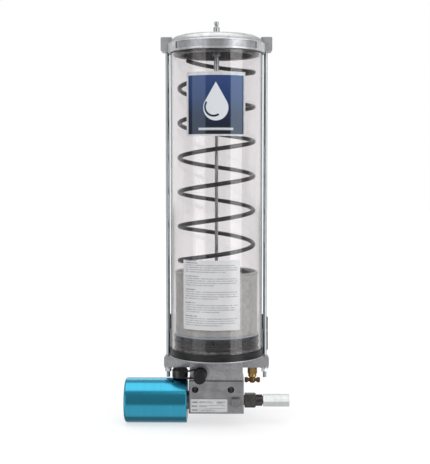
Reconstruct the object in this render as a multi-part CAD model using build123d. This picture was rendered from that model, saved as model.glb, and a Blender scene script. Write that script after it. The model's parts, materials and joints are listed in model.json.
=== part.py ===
from build123d import *
import math
import os

# Air operated automatic lubricator, millimetres. The origin is the centre of the two mounting holes
# on the rear mounting plane. +Z is up, the wall lies in +Y, the front looks towards -Y.

# Driving dimensions -----------------------------------------------------------------------------

# Clearances
FIT = 0.05              # radial clearance of a screwed or running fit
SEAT = 0.3              # gap between soft or curved neighbours

# Reservoir tube and the rods that clamp it
TUBE_R = 57.15
TUBE_WALL = 3.2
TUBE_LENGTH = 379.0
TIE_ROD_R = 2.4
TIE_ROD_GAP = 1.3       # between tube and rod
TIE_ROD_TAIL = 13.0     # stud end below the base
NUT_RIM = 1.6           # nut outside the rod, across flats
NUT_HEIGHT = 4.2
WASHER_RIM = 2.6        # washer outside the rod
WASHER_HEIGHT = 1.4

# Mounting
HOLE_R = 4.15
HOLE_SPACING = 44.45
BRACKET_THICKNESS = 4.0
BRACKET_MARGIN = 8.0    # plate beyond the base seat at each side
BRACKET_RISE = 39.3     # plate above the base seat
BRACKET_UPPER_SPACING = 100.0
BRACKET_SCREW_RISE = 5.8
BRACKET_SCREW_R = 2.5
BRACKET_SCREW_HEAD_R = 5.4
BRACKET_SCREW_BITE = 6.5
WALL_THICKNESS = 8.5
WALL_RISE = 19.8        # casting's rear wall above the base seat
BOSS_RIM = 3.85         # block boss outside its mounting hole

# Pump block
RESERVOIR_OFFSET = 4.0  # reservoir axis to the right of the mounting holes' centre
BLOCK_MARGIN = 8.075    # block outside the axis of its left mounting hole
BLOCK_FRONT = 22.0      # in front of the reservoir axis
BLOCK_REAR = 28.0       # behind the reservoir axis
BLOCK_TOP = 10.5
BLOCK_BELOW_PUMP = 12.1
BLOCK_SCREW_SPACING = 20.0
BLOCK_SCREW_FRONT = 13.5
BLOCK_SCREW_REAR = 21.0
BLOCK_SCREW_R = 2.5
BLOCK_SCREW_HEAD_R = 4.2
BLOCK_SCREW_SINK = 6.0
BLOCK_SCREW_BITE = 12.0  # thread inside the neck

# Base casting
NECK_GASKET = 0.8
NECK_HEIGHT = 13.5
NECK_STEP = 1.3         # neck inside the block at each side
NECK_SETBACK = 2.0      # neck behind the block's front
BAR_THICKNESS = 13.7
BAR_FRONT = 6.0
BAR_REAR = 9.0
BAR_LUG = 5.2           # material outside the tie rod
SEAT_THICKNESS = 3.2
SEAT_RIM = 2.3          # seat edge outside the tube
SEAT_EDGE = 1.8         # thickness of the seat's thin rim
SPIGOT_HEIGHT = 11.5
FUNNEL_R = 35.0
OUTLET_R = 8.0

# Base boot gasket
BOOT_FLOOR = 1.5
BOOT_WALL = 0.95
BOOT_HEIGHT = 8.0

# Cover
COVER_RIM = 2.85        # skirt outside the tube
COVER_RIM_HEIGHT = 12.4
COVER_LIP = 6.3         # skirt below the tube end
COVER_SPIGOT = 2.6      # inner spigot below the skirt
COVER_GASKET = 1.5
SPRING_SEAT_INSET = 2.1  # seat's inner edge inside the middle of the spring wire
DOME_RISE = 13.5
EAR_WIDTH = 16.0
EAR_LUG = 5.5           # material outside the tie rod
EAR_RISE = 7.5          # ear above the rim
VENT_R = 2.6

# Follower and its spring
CUP_GAP = 2.75          # cup inside the tube bore
CUP_WALL = 2.0
CUP_HEIGHT = 77.4
CUP_FLOOR = 5.0
SEAL_HEIGHT = 12.1
SEAL_ROOT_INSET = 7.2   # seal's root inside the cup's outside
SEAL_ROOT_WALL = 6.4
RETAINER_THICKNESS = 4.0
FOLLOWER_GAP = 0.3      # retainer above the base spigot
RETAINER_SCREWS = 6
RETAINER_SCREW_R = 1.6
RETAINER_SCREW_HEAD_R = 3.3
RETAINER_SCREW_BITE = 9.0
SPRING_WIRE = 5.3
SPRING_TURNS = 7.83
SPRING_START = 206.0    # degrees, the wire's lower end
SPRING_GAP = 0.45       # wire inside the cup wall

# Guide rod
ROD_R = 2.05
SLEEVE_R = 3.2
SLEEVE_LENGTH = 27.0
HUB_R = 5.6
HUB_HEIGHT = 6.5
ROD_BOSS_R = 9.0

# Air cylinder
CYLINDER_TOP = 10.3     # level of the barrel's top, below the left lug's plug and rod
CYLINDER_R = 28.3
CYLINDER_WALL = 4.0
CYLINDER_LENGTH = 78.75
CYLINDER_END = 9.0
CYLINDER_GAP = 2.45     # from the block
HEAD_THICKNESS = 11.0
HEAD_THREAD_LENGTH = 16.0
AIR_PORT_R = 5.6
PISTON_THICKNESS = 14.0
STROKE = 20.0
PLUNGER_R = 4.75
PLUNGER_SEAL_WALL = 2.2
PLUNGER_SEAL_DEPTH = 6.0
CHAMBER_SPARE = 3.0     # beyond the plunger's full stroke
RETURN_WIRE = 2.2
RETURN_TURNS = 6.0
INLET_R = 3.4

# Outlet
PORT_R = 6.5
PORT_DEPTH = 14.0
ADAPTER_FLATS = 17.0
ADAPTER_HEX = 14.2
ADAPTER_GAP = 1.2
ADAPTER_NECK_R = 7.2
ADAPTER_NECK = 9.2
ADAPTER_TAIL_R = 5.2
ADAPTER_TAIL = 9.0
ADAPTER_BORE_R = 2.5
VALVE_FLATS = 14.3
VALVE_LENGTH = 33.0
VALVE_SEAT_LENGTH = 3.0
VALVE_PORT_R = 4.6
VALVE_PORT_DEPTH = 9.2
VALVE_RETAINER = 1.2
VALVE_BALL_R = 3.4
BALL_GAP = 0.05

# Drain cock under the right lug, plug under the left lug
DRAIN_FLATS = 10.4
DRAIN_BODY = 12.8
DRAIN_BORE_R = 2.6
WING_SPAN = 19.5
WING_HEIGHT = 7.0
WING_THICKNESS = 3.6
WING_GAP = 1.25         # wing tip to the block's side
PLUG_HEIGHT = 11.0
PLUG_NECK_GAP = 3.0     # plug's edge to the neck's side
PLUG_ROD_GAP = 4.85     # plug's edge to the tie rod's axis, clear of the nut
LUG_PORT_R = 4.8
LUG_PORT_DEPTH = 8.0

# Fill nipple with its dust cap
FILL_INSET = 13.4       # nipple's axis from the neck's left side
FILL_DROP = 3.9         # nipple's axis below the bar
FILL_THREAD_R = 4.5
FILL_THREAD = 9.5
FILL_COLLAR_R = 5.6
FILL_COLLAR = 4.0
FILL_STUD_R = 4.6
FILL_LENGTH = 31.0
FILL_BALL_R = 2.2
CAP_WALL = 2.4
CAP_LENGTH = 35.0
CAP_END = 3.4
STRAND_R = 1.15

# Small things on the outside
PIPE_PLUG_INSET = 10.3  # plug's axis from the block's right side
PIPE_PLUG_RISE = 3.0    # above the pump axis
PIPE_PLUG_FLATS = 9.5
PIPE_PLUG_HEAD = 5.0
PIPE_PLUG_THREAD_R = 5.2
PIPE_PLUG_THREAD = 6.5
PLATE_HEIGHT = 17.0
PLATE_THICKNESS = 0.5
PLATE_EDGE = 2.05                # from the block's left side
PLATE_PLUG_GAP = 5.0             # from the pipe plug's head
PLATE_DROP = 1.8                 # middle below the pump axis
DECAL_SIZE = (75.0, 76.0)        # along the tube's face, height
DECAL_TOP_DROP = 33.3            # below the tube's top end
LABEL_SIZE = (73.6, 84.3)
LABEL_TURN = -6.6                # degrees from the front, towards the left
LABEL_BOTTOM_RISE = 36.9         # above the tube's lower end
FILM = 0.25

# Derived levels and places ----------------------------------------------------------------------

SEAT_R = TUBE_R + SEAT_RIM
AXIS_X = RESERVOIR_OFFSET
AXIS_Y = -(SEAT_R + 1.2 + WALL_THICKNESS + BRACKET_THICKNESS)
WALL_FRONT_Y = -(BRACKET_THICKNESS + WALL_THICKNESS)
BRACKET_HALF_WIDTH = SEAT_R + BRACKET_MARGIN
TIE_ROD_X = TUBE_R + TIE_ROD_GAP + TIE_ROD_R
NUT_FLATS = 2 * (TIE_ROD_R + NUT_RIM)
WASHER_R = TIE_ROD_R + WASHER_RIM
PUMP_Z = CYLINDER_TOP - CYLINDER_R
BLOCK_BOTTOM = PUMP_Z - BLOCK_BELOW_PUMP
BLOCK_HALF_WIDTH = HOLE_SPACING / 2 + RESERVOIR_OFFSET + BLOCK_MARGIN
BOSS_R = HOLE_R + BOSS_RIM
NECK_HALF_WIDTH = BLOCK_HALF_WIDTH - NECK_STEP
NECK_BOTTOM = BLOCK_TOP + NECK_GASKET
BAR_BOTTOM = NECK_BOTTOM + NECK_HEIGHT
BAR_TOP = BAR_BOTTOM + BAR_THICKNESS
SEAT_Z = BAR_TOP + SEAT_THICKNESS
BRACKET_TOP = SEAT_Z + BRACKET_RISE
BRACKET_SCREW_Z = SEAT_Z + BRACKET_SCREW_RISE
WALL_TOP = SEAT_Z + WALL_RISE
TUBE_BOTTOM = SEAT_Z + BOOT_FLOOR
TUBE_TOP = TUBE_BOTTOM + TUBE_LENGTH
TUBE_BORE_R = TUBE_R - TUBE_WALL
SPIGOT_TOP = SEAT_Z + SPIGOT_HEIGHT
SPIGOT_R = TUBE_BORE_R - 1.2
CUP_R = TUBE_BORE_R - CUP_GAP
SEAL_ROOT_R = CUP_R - SEAL_ROOT_INSET
SPRING_R = CUP_R - CUP_WALL - SPRING_GAP - SPRING_WIRE / 2
SPRING_SEAT_R = SPRING_R - SPRING_SEAT_INSET
COVER_EDGE = TUBE_TOP - COVER_LIP
COVER_R = TUBE_R + COVER_RIM
COVER_RIM_TOP = COVER_EDGE + COVER_RIM_HEIGHT
COVER_TOP = COVER_RIM_TOP + DOME_RISE
COVER_SEAT = COVER_EDGE - COVER_SPIGOT
HUB_TOP = COVER_SEAT + HUB_HEIGHT
EAR_TOP = COVER_RIM_TOP + EAR_RISE
EAR_BOTTOM = COVER_EDGE + 1.9
RETAINER_BOTTOM = SPIGOT_TOP + FOLLOWER_GAP
SEAL_BOTTOM = RETAINER_BOTTOM + RETAINER_THICKNESS
CUP_BOTTOM = SEAL_BOTTOM + SEAL_HEIGHT
CUP_FLOOR_TOP = CUP_BOTTOM + CUP_FLOOR
BLOCK_LEFT = AXIS_X - BLOCK_HALF_WIDTH
BLOCK_RIGHT = AXIS_X + BLOCK_HALF_WIDTH
CYLINDER_RIGHT = BLOCK_LEFT - CYLINDER_GAP
CYLINDER_LEFT = CYLINDER_RIGHT - CYLINDER_LENGTH
CYLINDER_BORE_R = CYLINDER_R - CYLINDER_WALL
PLUNGER_TAIL_R = PLUNGER_R - 0.75
PLUNGER_SEAL_R = PLUNGER_R + PLUNGER_SEAL_WALL
CHAMBER_R = PLUNGER_R + 2 * FIT
HEAD_THREAD_R = PLUNGER_SEAL_R + 2.05
HEAD_BOSS_R = HEAD_THREAD_R + 2.5
RETURN_R = PLUNGER_R + 7.25
HEAD_LEFT = CYLINDER_RIGHT - HEAD_THICKNESS
HEAD_TIP = BLOCK_LEFT + HEAD_THREAD_LENGTH
PISTON_LEFT = CYLINDER_LEFT + CYLINDER_END + SEAT
PISTON_RIGHT = PISTON_LEFT + PISTON_THICKNESS
PLUNGER_TIP = HEAD_TIP + 6.0
INLET_X = PLUNGER_TIP + 5.0
ADAPTER_LEFT = BLOCK_RIGHT + ADAPTER_GAP
ADAPTER_SHOULDER = ADAPTER_LEFT + ADAPTER_HEX
VALVE_LEFT = ADAPTER_SHOULDER + ADAPTER_NECK
VALVE_RIGHT = VALVE_LEFT + VALVE_LENGTH
VALVE_SEAT = VALVE_LEFT + ADAPTER_TAIL + 1.0 + VALVE_SEAT_LENGTH
VALVE_SEAT_R = VALVE_BALL_R - 1.0
VALVE_CHAMBER_R = VALVE_BALL_R + 0.9
BLOCK_FRONT_Y = AXIS_Y - BLOCK_FRONT
NECK_FRONT_Y = BLOCK_FRONT_Y + NECK_SETBACK
DRAIN_X = AXIS_X + BLOCK_HALF_WIDTH + WING_GAP + WING_SPAN / 2
PLUG_R = (TIE_ROD_X - PLUG_ROD_GAP - NECK_HALF_WIDTH - PLUG_NECK_GAP) / 2
PLUG_X = AXIS_X - NECK_HALF_WIDTH - PLUG_NECK_GAP - PLUG_R
PLUG_NECK_R = LUG_PORT_R + 1.2
ANCHOR_R = (PLUG_R + PLUG_NECK_R) / 2 + 0.6
FILL_X = AXIS_X - NECK_HALF_WIDTH + FILL_INSET
FILL_Z = BAR_BOTTOM - FILL_DROP
FILL_TIP_Y = NECK_FRONT_Y - FILL_LENGTH
FILL_SEAT_Y = FILL_TIP_Y + 5.0
FILL_BORE_R = FILL_BALL_R - 0.7
FILL_CAVITY_R = FILL_BALL_R + 0.7
CAP_REAR_Y = NECK_FRONT_Y - FILL_COLLAR - SEAT
CAP_R = FILL_STUD_R + CAP_WALL
PIPE_PLUG_X = BLOCK_RIGHT - PIPE_PLUG_INSET
PIPE_PLUG_Z = PUMP_Z + PIPE_PLUG_RISE


# Shape helpers ----------------------------------------------------------------------------------

def turned_z(points, x=AXIS_X, y=AXIS_Y):
    """Solid of revolution about a vertical axis, from (radius, z) points."""
    outline = Plane.XZ * make_face(Polyline(*points, close=True))
    return Pos(x, y, 0) * revolve(outline, Axis.Z)


def turned_x(points, y=AXIS_Y, z=PUMP_Z):
    """Solid of revolution about an axis along X, from (x, radius) points."""
    return Pos(0, y, z) * revolve(make_face(Polyline(*points, close=True)), Axis.X)


def turned_y(points, x, z):
    """Solid of revolution about an axis along Y, from (radius, y) points."""
    return Pos(x, 0, z) * revolve(make_face(Polyline(*points, close=True)), Axis.Y)


def rod_z(radius, bottom, top, x=AXIS_X, y=AXIS_Y):
    return Pos(x, y, (bottom + top) / 2) * Cylinder(radius, top - bottom)


def rod_x(radius, left, right, y=AXIS_Y, z=PUMP_Z):
    return Pos((left + right) / 2, y, z) * Rot(0, 90, 0) * Cylinder(radius, right - left)


def rod_y(radius, front, rear, x, z):
    return Pos(x, (front + rear) / 2, z) * Rot(90, 0, 0) * Cylinder(radius, rear - front)


def ring_z(outer, inner, bottom, top, x=AXIS_X, y=AXIS_Y):
    return rod_z(outer, bottom, top, x, y) - rod_z(inner, bottom - 1, top + 1, x, y)


def block_between(x, y, z):
    """Box from three (low, high) pairs."""
    size = [high - low for low, high in (x, y, z)]
    middle = [(high + low) / 2 for low, high in (x, y, z)]
    return Pos(*middle) * Box(*size)


def hex_x(flats, left, right, chamfer_left=0.0, chamfer_right=0.0):
    """Hexagon along X with flats above and below, its corners turned off at the ends."""
    prism = Pos(left, AXIS_Y, PUMP_Z) * Rot(0, 90, 0) * Rot(0, 0, 90) * extrude(
        RegularPolygon(flats / 2, 6, major_radius=False), right - left)
    corner = flats / math.sqrt(3)
    turning = [(left, 0), (left, corner - chamfer_left), (left + chamfer_left, corner + 0.01),
               (right - chamfer_right, corner + 0.01), (right, corner - chamfer_right), (right, 0)]
    return prism & turned_x(turning)


def hex_z(flats, bottom, top, x, y):
    return Pos(x, y, bottom) * extrude(RegularPolygon(flats / 2, 6, major_radius=False), top - bottom)


def coil(wire, radius, length, turns, place):
    """Round wire on a helix whose end coils reach exactly from 0 to length."""
    path = Helix((length - wire) / turns, length - wire, radius)
    section = Plane(origin=path @ 0, z_dir=path % 0) * Circle(wire / 2)
    return place * Pos(0, 0, wire / 2) * sweep(section, path=path, is_frenet=True)


def tube_film(width, height, bottom, turn):
    """Thin curved sheet on the outside of the reservoir tube, facing forward."""
    sheet = ring_z(TUBE_R + FILM, TUBE_R, bottom, bottom + height)
    half_angle = math.degrees(width / TUBE_R / 2)
    reach = 2 * TUBE_R
    wedge = make_face(Polyline(
        (0, 0),
        (-reach * math.sin(math.radians(half_angle)), -reach * math.cos(math.radians(half_angle))),
        (reach * math.sin(math.radians(half_angle)), -reach * math.cos(math.radians(half_angle))),
        close=True))
    cutter = Pos(AXIS_X, AXIS_Y, bottom - 1) * Rot(0, 0, turn) * extrude(wedge, height + 2)
    return sheet & cutter


# Reservoir --------------------------------------------------------------------------------------

def tie_rod_places():
    return [AXIS_X - TIE_ROD_X, AXIS_X + TIE_ROD_X]


def reservoir_cover():
    bore = TUBE_R + FIT + 0.1
    spigot_r = TUBE_BORE_R - 0.25
    edge_r, shoulder_r = 0.955 * COVER_R, 0.84 * COVER_R
    shoulder = COVER_RIM_TOP + 0.58 * DOME_RISE
    outline = Polyline(
        (ROD_BOSS_R, COVER_TOP), (0, COVER_TOP), (0, HUB_TOP), (ROD_BOSS_R, HUB_TOP),
        (ROD_BOSS_R, COVER_TOP - 5.0), (SPRING_SEAT_R - 14, COVER_RIM_TOP + 3.2),
        (SPRING_SEAT_R, COVER_RIM_TOP - 1.5), (SPRING_SEAT_R, COVER_SEAT), (spigot_r, COVER_SEAT),
        (spigot_r, TUBE_TOP + COVER_GASKET), (bore, TUBE_TOP + COVER_GASKET), (bore, COVER_EDGE),
        (COVER_R - 0.6, COVER_EDGE), (COVER_R, COVER_EDGE + 0.6), (COVER_R, COVER_RIM_TOP - 1.0),
        (COVER_R - 1.0, COVER_RIM_TOP), (edge_r, COVER_RIM_TOP))
    # Rounded shoulder inside the rim, then a gently crowned top up to the flat round the vent
    outline += ThreePointArc((edge_r, COVER_RIM_TOP), (0.922 * COVER_R, COVER_RIM_TOP + 0.34 * DOME_RISE),
                             (shoulder_r, shoulder))
    outline += ThreePointArc((shoulder_r, shoulder), (0.5 * COVER_R, COVER_RIM_TOP + 0.8 * DOME_RISE),
                             (ROD_BOSS_R, COVER_TOP))
    body = Pos(AXIS_X, AXIS_Y, 0) * revolve(Plane.XZ * make_face(outline), Axis.Z)
    # Shallow panel between the beads of the rim, front and back
    panel = ring_z(COVER_R + 1, COVER_R - 0.8, COVER_EDGE + 2.6, COVER_RIM_TOP - 1.8)
    panel_half = 0.81 * COVER_R
    reach = COVER_R + 5
    body -= panel & block_between((AXIS_X - panel_half, AXIS_X + panel_half),
                                  (AXIS_Y - reach, AXIS_Y + reach), (COVER_EDGE, COVER_RIM_TOP))
    ear_end = TIE_ROD_X + TIE_ROD_R + EAR_LUG
    for side in (-1, 1):
        ear = make_face(Polyline(
            (side * (TUBE_R - 2.2), COVER_RIM_TOP - 1.5), (side * (TUBE_R - 2.2), EAR_TOP),
            (side * (ear_end - 1.2), EAR_TOP), (side * ear_end, EAR_TOP - 1.2),
            (side * ear_end, EAR_BOTTOM + 2.0), (side * (ear_end - 1.6), EAR_BOTTOM),
            (side * (TUBE_R + 0.6), EAR_BOTTOM), (side * (TUBE_R + 0.6), COVER_RIM_TOP - 1.5),
            close=True))
        body += Pos(AXIS_X, AXIS_Y + EAR_WIDTH / 2, 0) * extrude(Plane.XZ * ear, EAR_WIDTH)
    for x in tie_rod_places():
        body -= rod_z(TIE_ROD_R + FIT, COVER_EDGE - 1, EAR_TOP - 4, x)
    body -= rod_z(SLEEVE_R + FIT, HUB_TOP - 1, HUB_TOP + 8)
    body -= rod_z(VENT_R + FIT, COVER_TOP - 6, COVER_TOP + 1)
    body -= rod_z(1.2, HUB_TOP, COVER_TOP)
    return body


def cover_gasket():
    return ring_z(TUBE_R, TUBE_BORE_R, TUBE_TOP, TUBE_TOP + COVER_GASKET)


def vent_fitting():
    top = COVER_TOP
    return turned_z([(0.7, top - 5), (VENT_R, top - 5), (VENT_R, top), (4.0, top), (4.0, top + 6.2),
                     (2.7, top + 7.6), (1.8, top + 8.3), (1.8, top + 8.9), (2.8, top + 9.9),
                     (2.8, top + 12.5), (1.8, top + 14.1), (0.7, top + 14.1)])


def reservoir_tube():
    return ring_z(TUBE_R, TUBE_BORE_R, TUBE_BOTTOM, TUBE_TOP)


def base_gasket():
    outer = TUBE_R + BOOT_WALL
    inner = TUBE_R + 0.02
    return turned_z([(SPIGOT_R + 0.3, SEAT_Z), (outer, SEAT_Z), (outer, SEAT_Z + BOOT_HEIGHT - 0.4),
                     (outer - 0.4, SEAT_Z + BOOT_HEIGHT), (inner, SEAT_Z + BOOT_HEIGHT),
                     (inner, TUBE_BOTTOM), (SPIGOT_R + 0.3, TUBE_BOTTOM)])


def tie_rods():
    bottom = BAR_BOTTOM - TIE_ROD_TAIL
    return [rod_z(TIE_ROD_R, bottom, EAR_TOP - 4.5, x) for x in tie_rod_places()]


def tie_rod_washers():
    return [ring_z(WASHER_R, TIE_ROD_R + FIT, BAR_BOTTOM - WASHER_HEIGHT, BAR_BOTTOM, x)
            for x in tie_rod_places()]


def tie_rod_nuts():
    top = BAR_BOTTOM - WASHER_HEIGHT
    return [Pos(x, AXIS_Y, 0) * Rot(0, 0, 30) * hex_z(NUT_FLATS, top - NUT_HEIGHT, top, 0, 0)
            - rod_z(TIE_ROD_R + FIT, top - NUT_HEIGHT - 1, top + 1, x) for x in tie_rod_places()]


def guide_rod():
    return rod_z(ROD_R, RETAINER_BOTTOM + 1.0, HUB_TOP + 7.0)


def rod_sleeve():
    sleeve = turned_z([(ROD_R + FIT, COVER_SEAT - SLEEVE_LENGTH), (SLEEVE_R, COVER_SEAT - SLEEVE_LENGTH),
                       (SLEEVE_R, COVER_SEAT), (HUB_R, COVER_SEAT), (HUB_R, COVER_SEAT + 1.8),
                       (SLEEVE_R, COVER_SEAT + 1.8), (SLEEVE_R, HUB_TOP + 7.0), (ROD_R + FIT, HUB_TOP + 7.0)])
    nut = hex_z(1.7 * HUB_R, COVER_SEAT + 1.8, HUB_TOP, AXIS_X, AXIS_Y)
    return sleeve + (nut - rod_z(SLEEVE_R - 0.2, COVER_SEAT, HUB_TOP + 1))


# Follower ---------------------------------------------------------------------------------------

def retainer_screw_places():
    ring = SEAL_ROOT_R - SEAL_ROOT_WALL / 2
    for index in range(RETAINER_SCREWS):
        angle = math.radians(30 + 360 * index / RETAINER_SCREWS)
        yield AXIS_X + ring * math.cos(angle), AXIS_Y + ring * math.sin(angle)


def follower_cup():
    """Moulded cup that holds the spring, with a ribbed spigot below for the seal."""
    rim = CUP_BOTTOM + CUP_HEIGHT
    inner = CUP_R - CUP_WALL
    hub = 9.0
    body = rod_z(hub, SEAL_BOTTOM, CUP_BOTTOM)
    body += turned_z([(0, CUP_BOTTOM), (CUP_R - 1.5, CUP_BOTTOM), (CUP_R, CUP_BOTTOM + 1.5),
                      (CUP_R, rim - 3.0), (CUP_R + 1.0, rim - 2.2), (CUP_R + 1.0, rim - 0.6),
                      (CUP_R + 0.4, rim), (inner + 0.6, rim), (inner, rim - 0.6),
                      (inner, CUP_FLOOR_TOP), (hub + 3, CUP_FLOOR_TOP), (hub, CUP_FLOOR_TOP + 3),
                      (0, CUP_FLOOR_TOP + 3)])
    body += ring_z(SEAL_ROOT_R, SEAL_ROOT_R - SEAL_ROOT_WALL, SEAL_BOTTOM, CUP_BOTTOM)
    for index in range(3):
        rib = Box(2 * SEAL_ROOT_R - SEAL_ROOT_WALL, 3.0, SEAL_HEIGHT)
        body += Pos(AXIS_X, AXIS_Y, SEAL_BOTTOM + SEAL_HEIGHT / 2) * Rot(0, 0, 60 * index) * rib
    body -= rod_z(ROD_R + FIT, SEAL_BOTTOM - 1, CUP_FLOOR_TOP + 5)
    body -= rod_z(ROD_R + 2.2, CUP_FLOOR_TOP - 1.0, CUP_FLOOR_TOP + 5)
    for x, y in retainer_screw_places():
        body -= rod_z(RETAINER_SCREW_R + FIT, SEAL_BOTTOM - 1,
                      SEAL_BOTTOM + RETAINER_SCREW_BITE + 0.5, x, y)
    return body


def rod_wiper():
    """Lip ring that wipes the guide rod at the top of the follower hub."""
    return ring_z(ROD_R + 2.15, ROD_R + FIT, CUP_FLOOR_TOP - 1.0, CUP_FLOOR_TOP + 3.4)


def follower_seal():
    lip = TUBE_BORE_R - 0.25
    waist = lip - 2.2
    low, high = SEAL_BOTTOM, CUP_BOTTOM
    return turned_z([
        (SEAL_ROOT_R, low), (CUP_R - 1.2, low), (lip - 0.6, low + 0.6), (lip, low + 1.8),
        (lip, low + 3.4), (waist, low + 4.8), (waist, high - 5.6), (lip, high - 4.0),
        (lip, high - 2.6), (lip - 0.8, high - 1.5), (CUP_R - 1.2, high), (SEAL_ROOT_R, high)])


def follower_retainer():
    edge = TUBE_BORE_R - 1.6
    plate = turned_z([(ROD_R + 1.0, RETAINER_BOTTOM), (edge - 1, RETAINER_BOTTOM),
                      (edge, RETAINER_BOTTOM + 1), (edge, SEAL_BOTTOM), (ROD_R + 1.0, SEAL_BOTTOM)])
    low, deep = RETAINER_BOTTOM - 0.01, RETAINER_BOTTOM + 1.7
    for x, y in retainer_screw_places():
        plate -= rod_z(RETAINER_SCREW_R + 0.3, RETAINER_BOTTOM - 1, SEAL_BOTTOM + 1, x, y)
        plate -= turned_z([(0, low), (RETAINER_SCREW_HEAD_R + 0.2, low), (RETAINER_SCREW_R + 0.2, deep),
                           (0, deep)], x, y)
    return plate


def retainer_screws():
    low, tip = RETAINER_BOTTOM + 0.1, SEAL_BOTTOM + RETAINER_SCREW_BITE
    return [turned_z([(0, low), (RETAINER_SCREW_HEAD_R, low), (RETAINER_SCREW_R, low + 1.7),
                      (RETAINER_SCREW_R, tip), (0, tip)], x, y) for x, y in retainer_screw_places()]


def follower_spring():
    seat = Pos(AXIS_X, AXIS_Y, CUP_FLOOR_TOP) * Rot(0, 0, SPRING_START)
    return coil(SPRING_WIRE, SPRING_R, COVER_SEAT - CUP_FLOOR_TOP, SPRING_TURNS, seat)


# Base and mounting ------------------------------------------------------------------------------

def bracket_screw_places():
    return [AXIS_X - 0.66 * BRACKET_HALF_WIDTH, AXIS_X + 0.66 * BRACKET_HALF_WIDTH]


def base_casting():
    """One casting: round seat with its spigot, cross bar, neck, rear wall and webs."""
    seat = turned_z([
        (0, BAR_TOP - 4.5), (0.47 * SEAT_R, BAR_TOP - 4.5), (0.6 * SEAT_R, BAR_TOP),
        (SEAT_R - 0.7, SEAT_Z - SEAT_EDGE), (SEAT_R, SEAT_Z - SEAT_EDGE + 0.6), (SEAT_R, SEAT_Z),
        (SPIGOT_R, SEAT_Z), (SPIGOT_R, SPIGOT_TOP - 1), (SPIGOT_R - 1, SPIGOT_TOP), (0, SPIGOT_TOP)])
    lug_end = TIE_ROD_X + BAR_LUG
    bar = make_face(Polyline(
        (-lug_end, BAR_BOTTOM + 2.2), (-lug_end + 2.2, BAR_BOTTOM), (lug_end - 2.2, BAR_BOTTOM),
        (lug_end, BAR_BOTTOM + 2.2), (lug_end, BAR_TOP - 1.5), (lug_end - 2.0, BAR_TOP + 0.5),
        (-lug_end + 2.0, BAR_TOP + 0.5), (-lug_end, BAR_TOP - 1.5), close=True))
    body = seat + Pos(AXIS_X, AXIS_Y + BAR_REAR, 0) * extrude(Plane.XZ * bar, BAR_REAR + BAR_FRONT)
    body += block_between((AXIS_X - NECK_HALF_WIDTH, AXIS_X + NECK_HALF_WIDTH),
                          (NECK_FRONT_Y, AXIS_Y + BLOCK_REAR), (NECK_BOTTOM, BAR_TOP))
    # Rear wall on its web, with a stiffening rib at each side of the neck
    half = BRACKET_HALF_WIDTH
    wall = make_face(Polyline(
        (-half, BAR_BOTTOM + 11), (-half + 5, BAR_BOTTOM + 6), (half - 5, BAR_BOTTOM + 6),
        (half, BAR_BOTTOM + 11), (half, WALL_TOP - 2), (half - 2, WALL_TOP), (-half + 2, WALL_TOP),
        (-half, WALL_TOP - 2), close=True))
    body += Pos(AXIS_X, -BRACKET_THICKNESS, 0) * extrude(Plane.XZ * wall, WALL_THICKNESS)
    body += block_between((AXIS_X - half + 10, AXIS_X + half - 10), (AXIS_Y, WALL_FRONT_Y + 1),
                          (BAR_BOTTOM + 6, BAR_TOP))
    for side in (-1, 1):
        middle = AXIS_X + side * (NECK_HALF_WIDTH - 6)
        rib = make_face(Polyline(
            (AXIS_Y + BLOCK_REAR - 1, NECK_BOTTOM + 3), (WALL_FRONT_Y + 0.5, BAR_BOTTOM + 1),
            (WALL_FRONT_Y + 0.5, BAR_TOP - 1), (AXIS_Y + BLOCK_REAR - 1, BAR_TOP - 1), close=True))
        body += Pos(middle - 4, 0, 0) * extrude(Plane.YZ * rib, 8.0)
    # Grease funnel and outlet
    body -= turned_z([(0, NECK_BOTTOM - 1), (OUTLET_R, NECK_BOTTOM - 1), (OUTLET_R, BAR_TOP),
                      (FUNNEL_R, SPIGOT_TOP + 0.01), (0, SPIGOT_TOP + 0.01)])
    # Tie rods pass through the lugs
    for x in tie_rod_places():
        body -= rod_z(TIE_ROD_R + 0.15, BAR_BOTTOM - 1, SEAT_Z + 1, x)
    # Ports under the lugs: drain on the right, plug on the left, both open into the reservoir
    for x in (DRAIN_X, PLUG_X):
        body -= rod_z(LUG_PORT_R + FIT, BAR_BOTTOM - 1, BAR_BOTTOM + LUG_PORT_DEPTH + 0.5, x)
        body -= rod_z(2.0, BAR_BOTTOM, SPIGOT_TOP + 1, x)
    # Fill passage: in from the front, then up into the funnel
    body -= rod_y(FILL_THREAD_R + FIT, NECK_FRONT_Y - 1, NECK_FRONT_Y + FILL_THREAD + 0.5, FILL_X, FILL_Z)
    body -= rod_y(2.2, NECK_FRONT_Y, AXIS_Y, FILL_X, FILL_Z)
    body -= rod_z(2.2, FILL_Z, SPIGOT_TOP, FILL_X, AXIS_Y)
    # Threads for the block screws and the bracket screws
    for x, y in block_screw_places():
        body -= rod_z(BLOCK_SCREW_R + FIT, NECK_BOTTOM - 1, NECK_BOTTOM + BLOCK_SCREW_BITE + 1, x, y)
    thread_end = -BRACKET_THICKNESS - BRACKET_SCREW_BITE - 0.5
    for x in bracket_screw_places():
        body -= rod_y(BRACKET_SCREW_R + FIT, thread_end, 0, x, BRACKET_SCREW_Z)
    return body


def neck_gasket():
    sheet = block_between((AXIS_X - NECK_HALF_WIDTH + 0.5, AXIS_X + NECK_HALF_WIDTH - 0.5),
                          (NECK_FRONT_Y + 0.5, AXIS_Y + BLOCK_REAR - 0.5), (BLOCK_TOP, NECK_BOTTOM))
    sheet -= rod_z(OUTLET_R, BLOCK_TOP - 1, NECK_BOTTOM + 1)
    for x, y in block_screw_places():
        sheet -= rod_z(BLOCK_SCREW_R + 0.5, BLOCK_TOP - 1, NECK_BOTTOM + 1, x, y)
    return sheet


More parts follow.
